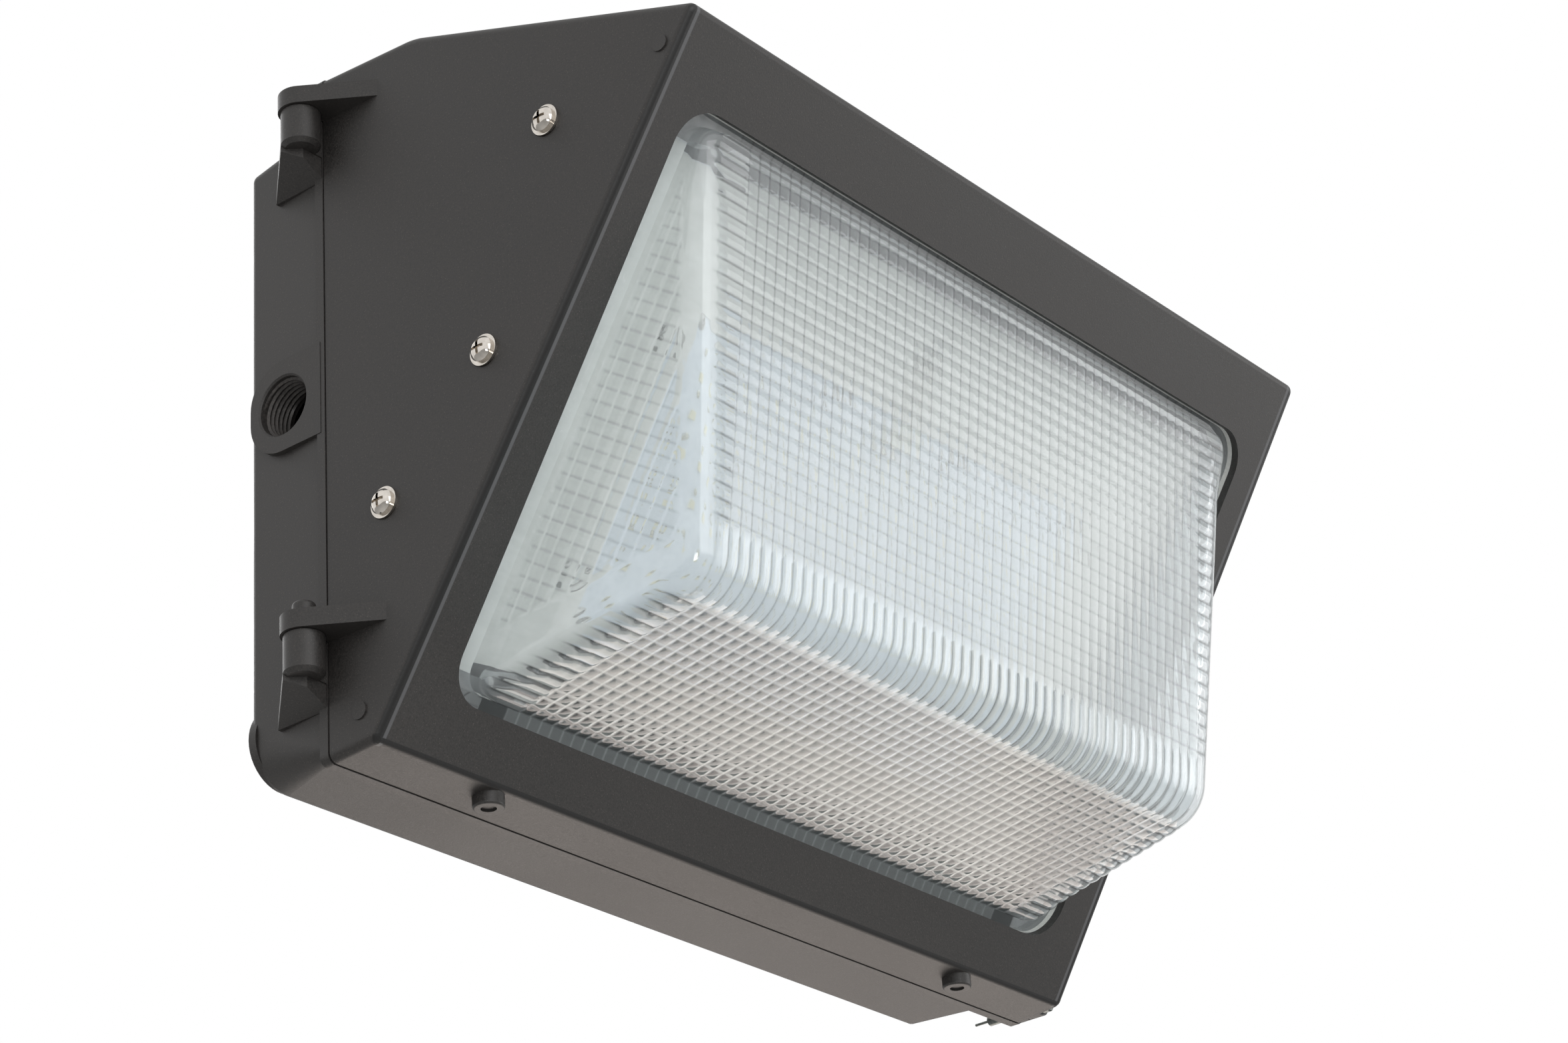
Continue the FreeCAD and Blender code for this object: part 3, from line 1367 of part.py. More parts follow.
def closing_screw(height):
    """Slotted screw that closes the front housing, with a cone and a thin pilot at its end."""
    seat = at(ear_x, -ear_thickness, height)
    thread_length = closing_screw_length - closing_tip_length - closing_cone_length
    shank = rod(seat, Y_AXIS, thread_length, closing_screw_radius)
    cone_start = seat.add(Vector(0, thread_length, 0))
    cone = Part.makeCone(closing_screw_radius, closing_tip_radius, closing_cone_length, cone_start, Y_AXIS)
    tip = rod(cone_start.add(Vector(0, closing_cone_length, 0)), Y_AXIS, closing_tip_length, closing_tip_radius)
    head = rod(seat, Vector(0, -1, 0), closing_head_height, closing_head_radius)
    crown_y = seat.y - closing_head_height
    crown = [edge for edge in head.Edges if edge.BoundBox.YMax < crown_y + NEAR]
    head = head.makeChamfer(closing_head_chamfer, crown)
    slot = block(Vector(ear_x - 2 * closing_head_radius, crown_y - 1, seat.z - closing_slot_width / 2),
                 Vector(ear_x + 2 * closing_head_radius, crown_y + closing_slot_depth,
                        seat.z + closing_slot_width / 2))
    return fuse([head.cut(slot), shank, cone, tip])


def save(name, shape):
    """Write one sub-part."""
    shape.exportStep(os.path.join("parts", name + ".step"))
    print(name, len(shape.Solids), round(sum(solid.Volume for solid in shape.Solids)), shape.isValid())


os.makedirs("parts", exist_ok=True)
save("back_box", back_box())
save("door_gasket", door_gasket())
save("conduit_plugs", conduit_plugs())
save("driver_case", driver_case())
save("driver_lid", driver_lid())
save("driver_board", driver_board())
save("driver_components", driver_components())
save("driver_screws", driver_screws())
save("terminal_block", terminal_block())
save("terminal_screws", terminal_screws())
save("input_leads", input_leads())
save("output_leads", output_leads())
save("output_socket", output_socket())
save("ground_screw", ground_screw())
save("ground_washer", ground_washer())
save("front_housing", front_housing())
save("refractor", refractor())
save("lens_gasket", lens_gasket())
save("lens_clips", lens_clips())
save("lens_clip_screws", lens_clip_screws())
save("lamp_tray", lamp_tray())
save("heat_sink", heat_sink())
save("heat_sink_screws", heat_sink_screws())
save("thermal_pad", thermal_pad())
save("led_board", led_board())
save("led_emitters", led_emitters())
save("board_screws", board_screws())
save("reflector", reflector())
save("board_connector", board_connector())
save("board_leads", board_leads())
save("lead_grommet", lead_grommet())
save("board_plug", board_plug())
save("side_screws", side_screws())
save("side_washers", side_washers())
save("closing_screw_lower", closing_screw(ear_heights()[0]))
save("closing_screw_upper", closing_screw(ear_heights()[1]))
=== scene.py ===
import math

import bmesh
import bpy
import numpy as np
from mathutils import Matrix


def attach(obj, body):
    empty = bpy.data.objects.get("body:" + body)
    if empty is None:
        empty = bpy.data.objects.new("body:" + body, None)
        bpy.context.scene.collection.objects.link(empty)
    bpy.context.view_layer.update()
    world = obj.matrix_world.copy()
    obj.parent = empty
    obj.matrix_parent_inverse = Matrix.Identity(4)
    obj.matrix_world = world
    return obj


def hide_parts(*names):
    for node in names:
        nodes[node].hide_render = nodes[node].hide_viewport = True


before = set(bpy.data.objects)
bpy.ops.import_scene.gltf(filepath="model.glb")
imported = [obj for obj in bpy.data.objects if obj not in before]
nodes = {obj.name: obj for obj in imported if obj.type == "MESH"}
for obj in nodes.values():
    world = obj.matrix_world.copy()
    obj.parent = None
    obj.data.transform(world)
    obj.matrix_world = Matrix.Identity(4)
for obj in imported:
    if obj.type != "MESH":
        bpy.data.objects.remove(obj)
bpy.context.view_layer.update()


# ======== Stand for the picture: camera, floor, lamps and sky ========
# The light hangs on nothing here and is seen from below and from its hinge side, in front of plain white.
# A pale floor lies well below it. Soft lamps stand round it, and the sky gives an even light.

scene = bpy.context.scene
scene.view_settings.view_transform = "Standard"

camera_place = (-0.93117, -0.78183, -0.57545)
camera_right = (0.626408, -0.776888, -0.063700)
camera_up = (-0.315910, -0.327726, 0.890391)
camera_back = (-0.712610, -0.537625, -0.450717)
camera_lens = 86.32

camera = bpy.data.objects.new("camera", bpy.data.cameras.new("camera"))
camera.data.sensor_width = 36.0
camera.data.lens = camera_lens
camera.data.clip_start = 0.05
turn = Matrix((camera_right, camera_up, camera_back)).transposed().to_4x4()
camera.matrix_world = Matrix.Translation(camera_place) @ turn
scene.collection.objects.link(camera)
scene.camera = camera


def colour(red, green, blue):
    """Linear colour from the 0 to 255 numbers of a colour chart. Each share goes through the display curve,
    which is a straight line at its dark end and a power of 2.4 above it."""
    share = np.array([red, green, blue]) / 255.0
    linear = np.where(share <= 0.04045, share / 12.92, ((share + 0.055) / 1.055) ** 2.4)
    return (*[float(value) for value in linear], 1.0)


def plug_in(tree, made, inputs):
    """Fills a shader node's inputs. A number is set on its socket, and another node's socket is linked."""
    for name, value in (inputs or {}).items():
        if isinstance(value, bpy.types.NodeSocket):
            tree.links.new(value, made.inputs[name])
        else:
            made.inputs[name].default_value = value
    return made


def add(tree, kind, inputs=None, **settings):
    """Adds a shader node. Settings are its own switches. Inputs are numbers, or sockets to link."""
    made = tree.nodes.new("ShaderNode" + kind)
    for name, value in settings.items():
        setattr(made, name, value)
    return plug_in(tree, made, inputs)


def reckon(tree, operation, *values):
    """Reckons with one, two or three values, which are numbers or sockets. Gives the socket of the result."""
    return add(tree, "Math", dict(enumerate(values)), operation=operation).outputs[0]


def spread(tree, value, start, end, low=0.0, high=1.0):
    """Runs evenly from low to high while a value goes from start to end, and stays level beyond them."""
    return add(tree, "MapRange", {"Value": value, "From Min": start, "From Max": end, "To Min": low,
                                  "To Max": high}).outputs[0]


def finish(name, **even):
    """New material. The values that are the same all over go on its Principled shader's own sockets."""
    material = bpy.data.materials.new(name)
    material.use_nodes = True
    shader = material.node_tree.nodes["Principled BSDF"]
    for socket, value in even.items():
        shader.inputs[socket.replace("_", " ")].default_value = value
    return material, material.node_tree, shader


def mesh_piece(name, points, faces, material, body=None, sharp_deg=40.0, marks=None):
    """New piece from an array of points in metres and lists of corner numbers. It rides on a body, if given.
    Points within a micrometre are welded, and the faces are turned outwards. Marks are named attributes of
    three numbers for each point, which the material reads."""
    mesh = bpy.data.meshes.new(name)
    mesh.from_pydata(points.reshape(-1, 3).tolist(), [], faces)
    for mark, values in (marks or {}).items():
        held = mesh.attributes.new(mark, "FLOAT_VECTOR", "POINT")
        held.data.foreach_set("vector", values.astype(np.float32).ravel())
    shell = bmesh.new()
    shell.from_mesh(mesh)
    bmesh.ops.remove_doubles(shell, verts=shell.verts, dist=1e-6)
    bmesh.ops.recalc_face_normals(shell, faces=shell.faces)
    shell.to_mesh(mesh)
    shell.free()
    mesh.polygons.foreach_set("use_smooth", np.ones(len(mesh.polygons), bool))
    mesh.set_sharp_from_angle(angle=math.radians(sharp_deg))
    mesh.materials.append(material)
    piece = bpy.data.objects.new(name, mesh)
    scene.collection.objects.link(piece)
    if body:
        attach(piece, body)
    return piece


floor_level = -1.5
floor_half = 14.0
floor_clouds = 0.8
floor_glow_share = 0.32

floor_paint, tree, shader = finish("floor_paint", Roughness=0.9)
clouds = add(tree, "TexNoise", {"Scale": floor_clouds, "Detail": 2.0})
tone = add(tree, "MixRGB", {"Fac": clouds.outputs["Fac"], "Color1": colour(232, 232, 231),
                            "Color2": colour(240, 240, 239)}).outputs[0]
glow = reckon(tree, "MULTIPLY", add(tree, "LightPath").outputs["Is Camera Ray"], floor_glow_share)
plug_in(tree, shader, {"Base Color": tone, "Emission Color": tone, "Emission Strength": glow})
floor_corners = np.array([(-1, -1, 0), (1, -1, 0), (1, 1, 0), (-1, 1, 0)]) * floor_half
floor_corners[:, 2] = floor_level
floor = mesh_piece("floor", floor_corners, [(0, 1, 2, 3)], floor_paint)

object_middle = (0.0, -0.09, 0.0)
plain_light = (1.0, 1.0, 1.0)
warm_light = (1.0, 0.88, 0.8)


def soft_lamp(name, place, size, watts, tint=plain_light):
    """Square soft lamp that faces the object: its back axis is the unit vector from there to the lamp."""
    lamp = bpy.data.objects.new(name, bpy.data.lights.new(name, "AREA"))
    lamp.data.shape = "SQUARE"
    lamp.data.size = size
    lamp.data.energy = watts
    lamp.data.color = tint
    back = np.subtract(place, object_middle)
    back = back / np.linalg.norm(back)
    side = np.cross((0, 0, 1), back)
    side = side / np.linalg.norm(side)
    turned = Matrix((side.tolist(), np.cross(back, side).tolist(), back.tolist())).transposed().to_4x4()
    lamp.matrix_world = Matrix.Translation(place) @ turned
    scene.collection.objects.link(lamp)


soft_lamp("lamp_front_left", (-0.7, -1.9, 0.35), size=1.4, watts=12.0)
soft_lamp("lamp_below", (1.2, 0.8, -1.15), size=1.2, watts=11.0, tint=warm_light)
soft_lamp("lamp_right", (1.5, -1.4, 0.1), size=1.2, watts=8.0)
soft_lamp("lamp_back", (0.3, 1.6, 0.9), size=1.2, watts=7.0)
soft_lamp("lamp_by_camera", (-1.15, -0.95, -0.35), size=0.25, watts=2.0)

sky_even = 0.46
sky_seen = 1.0
world = bpy.data.worlds.new("sky")
scene.world = world
world.use_nodes = True
tree = world.node_tree
ray = add(tree, "LightPath").outputs
seen = reckon(tree, "MAXIMUM", ray["Is Camera Ray"], ray["Is Glossy Ray"])
seen = reckon(tree, "MAXIMUM", seen, ray["Is Transmission Ray"])
plug_in(tree, tree.nodes["Background"], {"Color": (1.0, 1.0, 1.0, 1.0),
                                         "Strength": spread(tree, seen, 0.0, 1.0, sky_even, sky_seen)})


# ======== Back box ========
# Aluminium die casting, bolted to the wall. It holds the driver and carries the hinge pins and the conduit
# hubs. It is powder coated dark bronze: a satin skin with a fine sandy grain and lighter flecks.

MM = 0.001


def surface_effect(name, scale_kind):
    """Empty shader node group for a surface. It takes two colours, two roughnesses and how many grains or
    lines stand on a metre, and gives a colour, a roughness and a height."""
    effect = bpy.data.node_groups.new(name, "ShaderNodeTree")
    for socket, kind in (("Dark", "Color"), ("Light", "Color"), ("Per Metre", scale_kind),
                         ("Rough Low", "Float"), ("Rough High", "Float")):
        effect.interface.new_socket(name=socket, in_out="INPUT", socket_type="NodeSocket" + kind)
    for socket, kind in (("Color", "Color"), ("Roughness", "Float"), ("Height", "Float")):
        effect.interface.new_socket(name=socket, in_out="OUTPUT", socket_type="NodeSocket" + kind)
    return effect, effect.nodes.new("NodeGroupInput").outputs, effect.nodes.new("NodeGroupOutput")


def end_effect(effect, given, put_out, share, start, end, height):
    """Ends a surface effect: while its share goes from start to end, the colour runs from dark to light and
    the roughness from low to high."""
    share = spread(effect, share, start, end)
    tone = add(effect, "MixRGB", {"Fac": share, "Color1": given["Dark"], "Color2": given["Light"]})
    rough = spread(effect, share, 0.0, 1.0, given["Rough Low"], given["Rough High"])
    plug_in(effect, put_out, {"Color": tone.outputs[0], "Roughness": rough, "Height": height})


fine_share, broad_share = 0.75, 0.25
broad_per_metre = 14.0
grain_start, grain_end = 0.32, 0.68

grain, given, put_out = surface_effect("grain", "Float")
place = add(grain, "TexCoord").outputs["Object"]
fine = add(grain, "TexNoise", {"Vector": place, "Scale": given["Per Metre"], "Detail": 2.0,
                               "Roughness": 0.6}).outputs["Fac"]
broad = add(grain, "TexNoise", {"Vector": place, "Scale": broad_per_metre, "Detail": 3.0}).outputs["Fac"]
mixed = reckon(grain, "MULTIPLY_ADD", broad, broad_share, reckon(grain, "MULTIPLY", fine, fine_share))
end_effect(grain, given, put_out, mixed, grain_start, grain_end, fine)


def place_effect(tree, effect, dark, light, per_metre, rough):
    """Places a surface effect in a material with its own chart colours and values, and gives its outputs."""
    return add(tree, "Group", {"Dark": colour(*dark), "Light": colour(*light), "Per Metre": per_metre,
                               "Rough Low": rough[0], "Rough High": rough[1]}, node_tree=effect).outputs


def surfaced(name, effect, dark, light, per_metre, rough, bump_mm, **even):
    """Material whose colour, roughness and relief all follow one surface effect."""
    material, tree, shader = finish(name, **even)
    placed = place_effect(tree, effect, dark, light, per_metre, rough)
    bump = add(tree, "Bump", {"Height": placed["Height"], "Distance": bump_mm * MM})
    plug_in(tree, shader, {"Base Color": placed["Color"], "Roughness": placed["Roughness"],
                           "Normal": bump.outputs[0]})
    return material


def dress(material, *names):
    """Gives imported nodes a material: every slot of each node takes it."""
    for name in names:
        for held in nodes[name].material_slots:
            held.material = material


def lay_over(material, mask, shade):
    """Lays a chart colour over a material's own colour: the more the mask, the more of it shows."""
    tree = material.node_tree
    base = tree.nodes["Principled BSDF"].inputs["Base Color"]
    laid = add(tree, "MixRGB", {"Fac": mask, "Color1": base.links[0].from_socket, "Color2": colour(*shade)})
    tree.links.new(laid.outputs[0], base)


flecks_per_metre = 900.0
fleck_core, fleck_rim, fleck_strength = 0.10, 0.16, 0.55


def bronze_coat(name):
    """Dark bronze powder coat: the grain, with sparse light flecks laid over its colour. The flecks sit at
    the middles of random cells. Each is even out to its core and fades from there to its rim."""
    coat = surfaced(name, grain, dark=(34, 33, 32), light=(57, 54, 52), per_metre=1700.0,
                    rough=(0.42, 0.56), bump_mm=0.035)
    tree = coat.node_tree
    cells = add(tree, "TexVoronoi", {"Vector": add(tree, "TexCoord").outputs["Object"],
                                     "Scale": flecks_per_metre}).outputs["Distance"]
    lay_over(coat, spread(tree, cells, fleck_core, fleck_rim, fleck_strength, 0.0), (92, 87, 82))
    return coat


dress(bronze_coat("bronze_coat"), "back_box")


# ======== Supply hub's thread ========
# The left hub is tapped with a pipe thread, to take the supply's rigid conduit. The coat has run thinly over
# the cut metal, so the thread is patchy and lighter than the box.

hub_low, hub_high = -180.2, -167.0
hub_behind, hub_height = -17.7, 13.9
thread_pitch = 1.814
thread_radius = 10.38
thread_depth = 0.75
thread_foot, thread_crest = 0.42, 0.08
thread_run_out, thread_least = 1.5, 0.02
steps_per_turn = 28


def inner_thread():
    """Ridge of an inner thread along X, in rows of four points. At angle a its row is pitch * a / (2 pi)
    further along. The foot lies on the bore's wall and the crest a depth further in. Both half widths are
    shares of the pitch. Over the run-out angle at each end the ridge rises from nearly nothing."""
    turns = (hub_high - hub_low - thread_pitch) / thread_pitch
    angle = np.linspace(0, 2 * np.pi * turns, int(turns * steps_per_turn))[:, None]
    section = np.array([-thread_foot, -thread_crest, thread_crest, thread_foot]) * thread_pitch
    rise = np.clip(np.minimum(angle, angle[-1] - angle) / thread_run_out, thread_least, 1)
    reach = thread_radius - thread_depth * np.array([0.0, 1.0, 1.0, 0.0]) * rise
    x = hub_low + thread_pitch * 0.5 + thread_pitch * angle / (2 * np.pi) + section
    return np.stack([x, hub_behind + reach * np.cos(angle), hub_height + reach * np.sin(angle)], -1) * MM


def tube_faces(rows, around):
    """Corner numbers of a tube of rows of points, closed round and capped at both ends."""
    row = np.arange(rows - 1)[:, None] * around
    here = np.arange(around)[None, :]
    after = (here + 1) % around
    sides = np.stack([row + here, row + after, row + around + after, row + around + here], -1)
    caps = [list(range(around)), list(range((rows - 1) * around, rows * around))]
    return sides.reshape(-1, 4).tolist() + caps


thread = inner_thread()
thread_metal = surfaced("cut_thread", grain, dark=(40, 38, 37), light=(84, 80, 77), per_metre=900.0,
                        rough=(0.3, 0.5), bump_mm=0.01, Metallic=0.3)
mesh_piece("hub_thread", thread, tube_faces(*thread.shape[:2]), thread_metal, "back_box",
           sharp_deg=25.0)


# ======== Close-up plugs ========
# Zinc plugs with a hexagon socket, screwed into the right and rear conduit entries. They are die cast and
# coated like the box, a little lighter and glossier.

plug_coat = surfaced("plug_coat", grain, dark=(52, 50, 48), light=(74, 71, 68), per_metre=1100.0,
                     rough=(0.32, 0.44), bump_mm=0.02)
dress(plug_coat, "conduit_plugs")


# ======== Driver ========
# The driver's case is folded from aluminium sheet, brushed along its length, with a flat lid. Inside, a
# green board carries a taped transformer, a choke, sleeved capacitors and an aluminium heat spreader.

lines_start, lines_end = 0.3, 0.7

brushed, given, put_out = surface_effect("brushed", "Vector")
drawn = add(brushed, "VectorMath", {0: add(brushed, "TexCoord").outputs["Object"], 1: given["Per Metre"]},
            operation="MULTIPLY").outputs[0]
lines = add(brushed, "TexNoise", {"Vector": drawn, "Scale": 1.0, "Detail": 3.0,
                                  "Roughness": 0.7}).outputs["Fac"]
end_effect(brushed, given, put_out, lines, lines_start, lines_end, lines)

case_sheet = surfaced("case_sheet", brushed, dark=(168, 170, 172), light=(205, 206, 208),
                      per_metre=(12.0, 1800.0, 1800.0), rough=(0.32, 0.48), bump_mm=0.01, Metallic=1.0)
dress(case_sheet, "driver_case", "driver_lid")

track_depth = 0.03
board_mask, tree, shader = finish("board_mask", Roughness=0.35, Coat_Weight=0.3)
tracks = add(tree, "TexBrick", {"Vector": add(tree, "TexCoord").outputs["Object"], "Scale": 90.0,
                                "Brick Width": 0.9, "Row Height": 0.35, "Mortar Size": 0.06,
                                "Color1": colour(18, 84, 46), "Color2": colour(22, 96, 52),
                                "Mortar": colour(44, 122, 66)}).outputs
relief = add(tree, "Bump", {"Height": tracks["Fac"], "Distance": track_depth * MM})
plug_in(tree, shader, {"Base Color": tracks["Color"], "Normal": relief.outputs[0]})
dress(board_mask, "driver_board")

# Each colour starts at its own place along the board, in metres. Fine bands run round the components.
component_colours = ((-0.045, (32, 30, 30)), (-0.024, (176, 120, 60)), (-0.0075, (30, 44, 84)),
                     (0.0225, (206, 176, 40)), (0.031, (170, 172, 174)), (0.0365, (26, 28, 34)))
ramp_low, ramp_high = -0.07, 0.08
bands_per_metre = 160.0
band_depth = 0.12
component_skin, tree, shader = finish("component_skin", Roughness=0.4)
place = add(tree, "TexCoord").outputs["Object"]
along_board = add(tree, "SeparateXYZ", {0: place}).outputs["X"]
ramp = add(tree, "ValToRGB", {"Fac": spread(tree, along_board, ramp_low, ramp_high)})
ramp.color_ramp.interpolation = "CONSTANT"
while len(ramp.color_ramp.elements) < len(component_colours):
    ramp.color_ramp.elements.new(1.0)
for element, (start_x, shade) in zip(ramp.color_ramp.elements, component_colours):
    element.position = (start_x - ramp_low) / (ramp_high - ramp_low)
    element.color = colour(*shade)
bands = add(tree, "TexWave", {"Vector": place, "Scale": bands_per_metre, "Distortion": 0.4},
            bands_direction="Y")
relief = add(tree, "Bump", {"Height": bands.outputs["Fac"], "Distance": band_depth * MM})
plug_in(tree, shader, {"Base Color": ramp.outputs["Color"], "Normal": relief.outputs[0]})
dress(component_skin, "driver_components")


# ======== Small screws and the ground washer ========
# Steel screws, cold headed and zinc plated. They fix the driver, the leads, the glass's clips, the heat sink
# and the light board. The ground screw's washer is plated like them.

zinc_plate = surfaced("zinc_plate", grain, dark=(188, 186, 181), light=(214, 212, 206), per_metre=900.0,
                      rough=(0.34, 0.5), bump_mm=0.008, Metallic=0.75)
dress(zinc_plate, "driver_screws", "terminal_screws", "ground_washer", "lens_clip_screws",
      "heat_sink_screws", "board_screws")


# ======== Terminal block, leads and their connectors ========
# The supply is joined at a moulded terminal block. PVC leads run from it to the driver, from the driver to a
# nylon socket, and from the nylon plug in the door to the light board's connector.

terminal_mould = surfaced("terminal_mould", grain, dark=(40, 41, 43), light=(54, 55, 57), per_metre=1300.0,
                          rough=(0.45, 0.6), bump_mm=0.02)
dress(terminal_mould, "terminal_block")
for name, dark, light, leads in (
        ("black_lead", (24, 24, 26), (34, 34, 36), "input_leads"),
        ("red_lead", (176, 26, 22), (196, 36, 30), "output_leads"),
        ("white_lead", (212, 210, 204), (226, 224, 218), "board_leads")):
    dress(surfaced(name, grain, dark, light, per_metre=2200.0, rough=(0.34, 0.46), bump_mm=0.01), leads)
cream_nylon = surfaced("cream_nylon", grain, dark=(222, 218, 205), light=(236, 232, 220),
                       per_metre=1000.0, rough=(0.38, 0.5), bump_mm=0.02, Subsurface_Weight=0.1)
dress(cream_nylon, "output_socket", "board_plug", "board_connector")


# ======== Ground screw ========
# Steel screw in the back box that takes the supply's ground. It is passivated green, so that it is told
# from the others.

ground_green = surfaced("ground_green", grain, dark=(34, 110, 52), light=(60, 146, 76), per_metre=1200.0,
                        rough=(0.28, 0.4), bump_mm=0.01, Metallic=0.85)
dress(ground_green, "ground_screw")


# ======== Gasket between the housings ========
# Closed-cell black sponge cord, pressed into a groove in the back box's rim. Its skin shows small pores,
# and the front squeezes it when it is screwed shut.

gasket_sponge = surfaced("gasket_sponge", grain, dark=(24, 24, 25), light=(44, 44, 45), per_metre=700.0,
                         rough=(0.75, 0.92), bump_mm=0.12)
dress(gasket_sponge, "door_gasket")


# ======== Front housing ========
# Aluminium die casting, hinged on the back box, in the same dark bronze coat. Its coat carries painted shade,
# a dark line along the side edges and the foot edge of the slanted face, where the rounded edges turn from
# the light. Just inside the side lines it carries a painted highlight, a lighter line on the rounded edge.

face_low = np.array([0.0, -54.8, -115.5])
face_high = np.array([0.0, -191.0, 91.0])
up_face = (face_high - face_low) / np.linalg.norm(face_high - face_low)
out_face = np.array([0.0, -up_face[2], up_face[1]])
side_half, side_rear = 181.0, -36.8
side_lean = math.tan(math.radians(2.3))
# Painted shade and highlight along the slanted face's edges: how far in each line lies, and half its width,
# in millimetres.
side_shade_line, side_shade_line_half = 1.65, 1.2
foot_shade_line, foot_shade_line_half = 0.9, 0.7
edge_highlight_line, edge_highlight_line_half = 3.6, 0.6
band_fade = 0.33
slant_start, slant_full = -1.7, -1.3
painted_edge_highlight_share = 0.5


def level_over(tree, place, normal, level):
    """Height in millimetres over a plane: the place along the plane's normal, plus a level."""
    steep = tuple(float(share) / MM for share in normal)
    along = add(tree, "VectorMath", {0: place, 1: steep}, operation="DOT_PRODUCT").outputs["Value"]
    return reckon(tree, "ADD", along, float(level))


def band(tree, distance, middle, half):
    """1 within half a band's width of its middle line, fading to 0 just beyond it."""
    off = reckon(tree, "ABSOLUTE", reckon(tree, "SUBTRACT", distance, middle))
    return spread(tree, off, half, half + band_fade, 1.0, 0.0)


door_coat = bronze_coat("door_coat")
tree = door_coat.node_tree
place = add(tree, "TexCoord").outputs["Object"]
width = add(tree, "SeparateXYZ", {0: add(tree, "VectorMath", {0: place}, operation="ABSOLUTE").outputs[0]})
place = add(tree, "SeparateXYZ", {0: place}).outputs
half = add(tree, "CombineXYZ", {0: width.outputs[0], 1: place[1], 2: place[2]}).outputs[0]
out = level_over(tree, half, out_face, -(face_low @ out_face))
from_side = level_over(tree, half, (-1.0, side_lean, 0.0), side_half - side_rear * side_lean)
from_foot = level_over(tree, half, up_face, -(face_low @ up_face))
on_slant = spread(tree, out, slant_start, slant_full)
# Painted shade: a near-black line along the side and foot edges of the slanted face. Painted highlight: a
# lighter line on the rounded side edges.
painted_edge_shade = reckon(tree, "MAXIMUM", band(tree, from_side, side_shade_line, side_shade_line_half),
                band(tree, from_foot, foot_shade_line, foot_shade_line_half))
painted_edge_shade = reckon(tree, "MULTIPLY", painted_edge_shade, on_slant)
painted_edge_highlight = reckon(tree, "MULTIPLY", band(tree, from_side, edge_highlight_line, edge_highlight_line_half), on_slant)
lay_over(door_coat, reckon(tree, "MULTIPLY", painted_edge_highlight, painted_edge_highlight_share), (112, 113, 116))
lay_over(door_coat, painted_edge_shade, (14, 13, 13))
dress(door_coat, "front_housing")


# ======== Lamp tray, heat sink and thermal pad ========
# The tray is white-coated aluminium sheet between the side walls. The heat sink is an extrusion, so its die
# lines run along the fins. A soft grey-blue pad fills the joint to the light board.

tray_coat = surfaced("tray_coat", grain, dark=(220, 221, 222), light=(232, 233, 234), per_metre=1500.0,
                     rough=(0.45, 0.6), bump_mm=0.02)
dress(tray_coat, "lamp_tray")
extrusion = surfaced("extrusion", brushed, dark=(150, 152, 154), light=(190, 192, 194),
                     per_metre=(2200.0, 30.0, 30.0), rough=(0.34, 0.5), bump_mm=0.015, Metallic=1.0)
dress(extrusion, "heat_sink")
pad_silicone = surfaced("pad_silicone", grain, dark=(120, 132, 146), light=(140, 152, 166),
                        per_metre=800.0, rough=(0.6, 0.75), bump_mm=0.03)
dress(pad_silicone, "thermal_pad")


# ======== Light board, its emitters and their domes ========
# The board is aluminium with a white mask. Each emitter is a white plastic cup with yellow phosphor, under
# a clear silicone dome moulded on it.

white_mask = surfaced("white_mask", grain, dark=(228, 234, 242), light=(240, 245, 250), per_metre=500.0,
                      rough=(0.25, 0.35), bump_mm=0.01, Coat_Weight=0.2)
dress(white_mask, "led_board")
phosphor = surfaced("phosphor", grain, dark=(238, 230, 196), light=(246, 240, 212), per_metre=2500.0,
                    rough=(0.4, 0.55), bump_mm=0.02)
dress(phosphor, "led_emitters")

dome_radius, dome_height = 1.35, 1.0
dome_rings, dome_around = 4, 8
emitter_across = np.linspace(-93.0, 93.0, 14)
emitter_up = np.linspace(68.0, 156.0, 7)
emitter_face = -17.3


def on_face(x, up, out):
    """Points in metres from places on the slanted face: across, up it and out of it, in millimetres."""
    x, up, out = np.broadcast_arrays(x, up, out)
    return (face_low + x[..., None] * np.array([1.0, 0, 0]) + up[..., None] * up_face
            + out[..., None] * out_face) * MM


def dome_field():
    """Domes on the emitters' lattice. As the lift goes from 0 to a quarter turn, a dome's rings have its
    radius times the cosine of the lift, and stand at its height times the sine."""
    lift = np.linspace(0, 0.5 * np.pi, dome_rings + 1)[:, None]
    angle = np.linspace(0, 2 * np.pi, dome_around, endpoint=False)[None, :]
    spot = np.stack(np.meshgrid(emitter_across, emitter_up, indexing="ij"), -1).reshape(-1, 1, 1, 2)
    ring = np.cos(lift) * dome_radius
    return on_face(spot[..., 0] + ring * np.cos(angle), spot[..., 1] + ring * np.sin(angle),
                   emitter_face + dome_height * np.sin(lift))


def field_faces(count, rows, around):
    """Corner numbers of many equal tubes, each capped at its first row."""
    one = tube_faces(rows, around)
    step = (np.arange(count) * rows * around)[:, None, None]
    sides = (np.array(one[:-2])[None] + step).reshape(-1, 4)
    bases = (np.array(one[-2])[None, None] + step).reshape(count, -1)
    return sides.tolist() + bases.tolist()


domes = dome_field()
silicone = finish("silicone", Base_Color=colour(248, 244, 226), Roughness=0.12, Transmission_Weight=0.6,
                  IOR=1.41)[0]
mesh_piece("emitter_domes", domes, field_faces(len(domes), dome_rings + 1, dome_around), silicone, "door",
           sharp_deg=60.0)


# ======== Reflector ========
# Thin aluminium sheet, blanked and folded round the light board. It has a semi-matt warm white coat over a
# faint rolling grain.

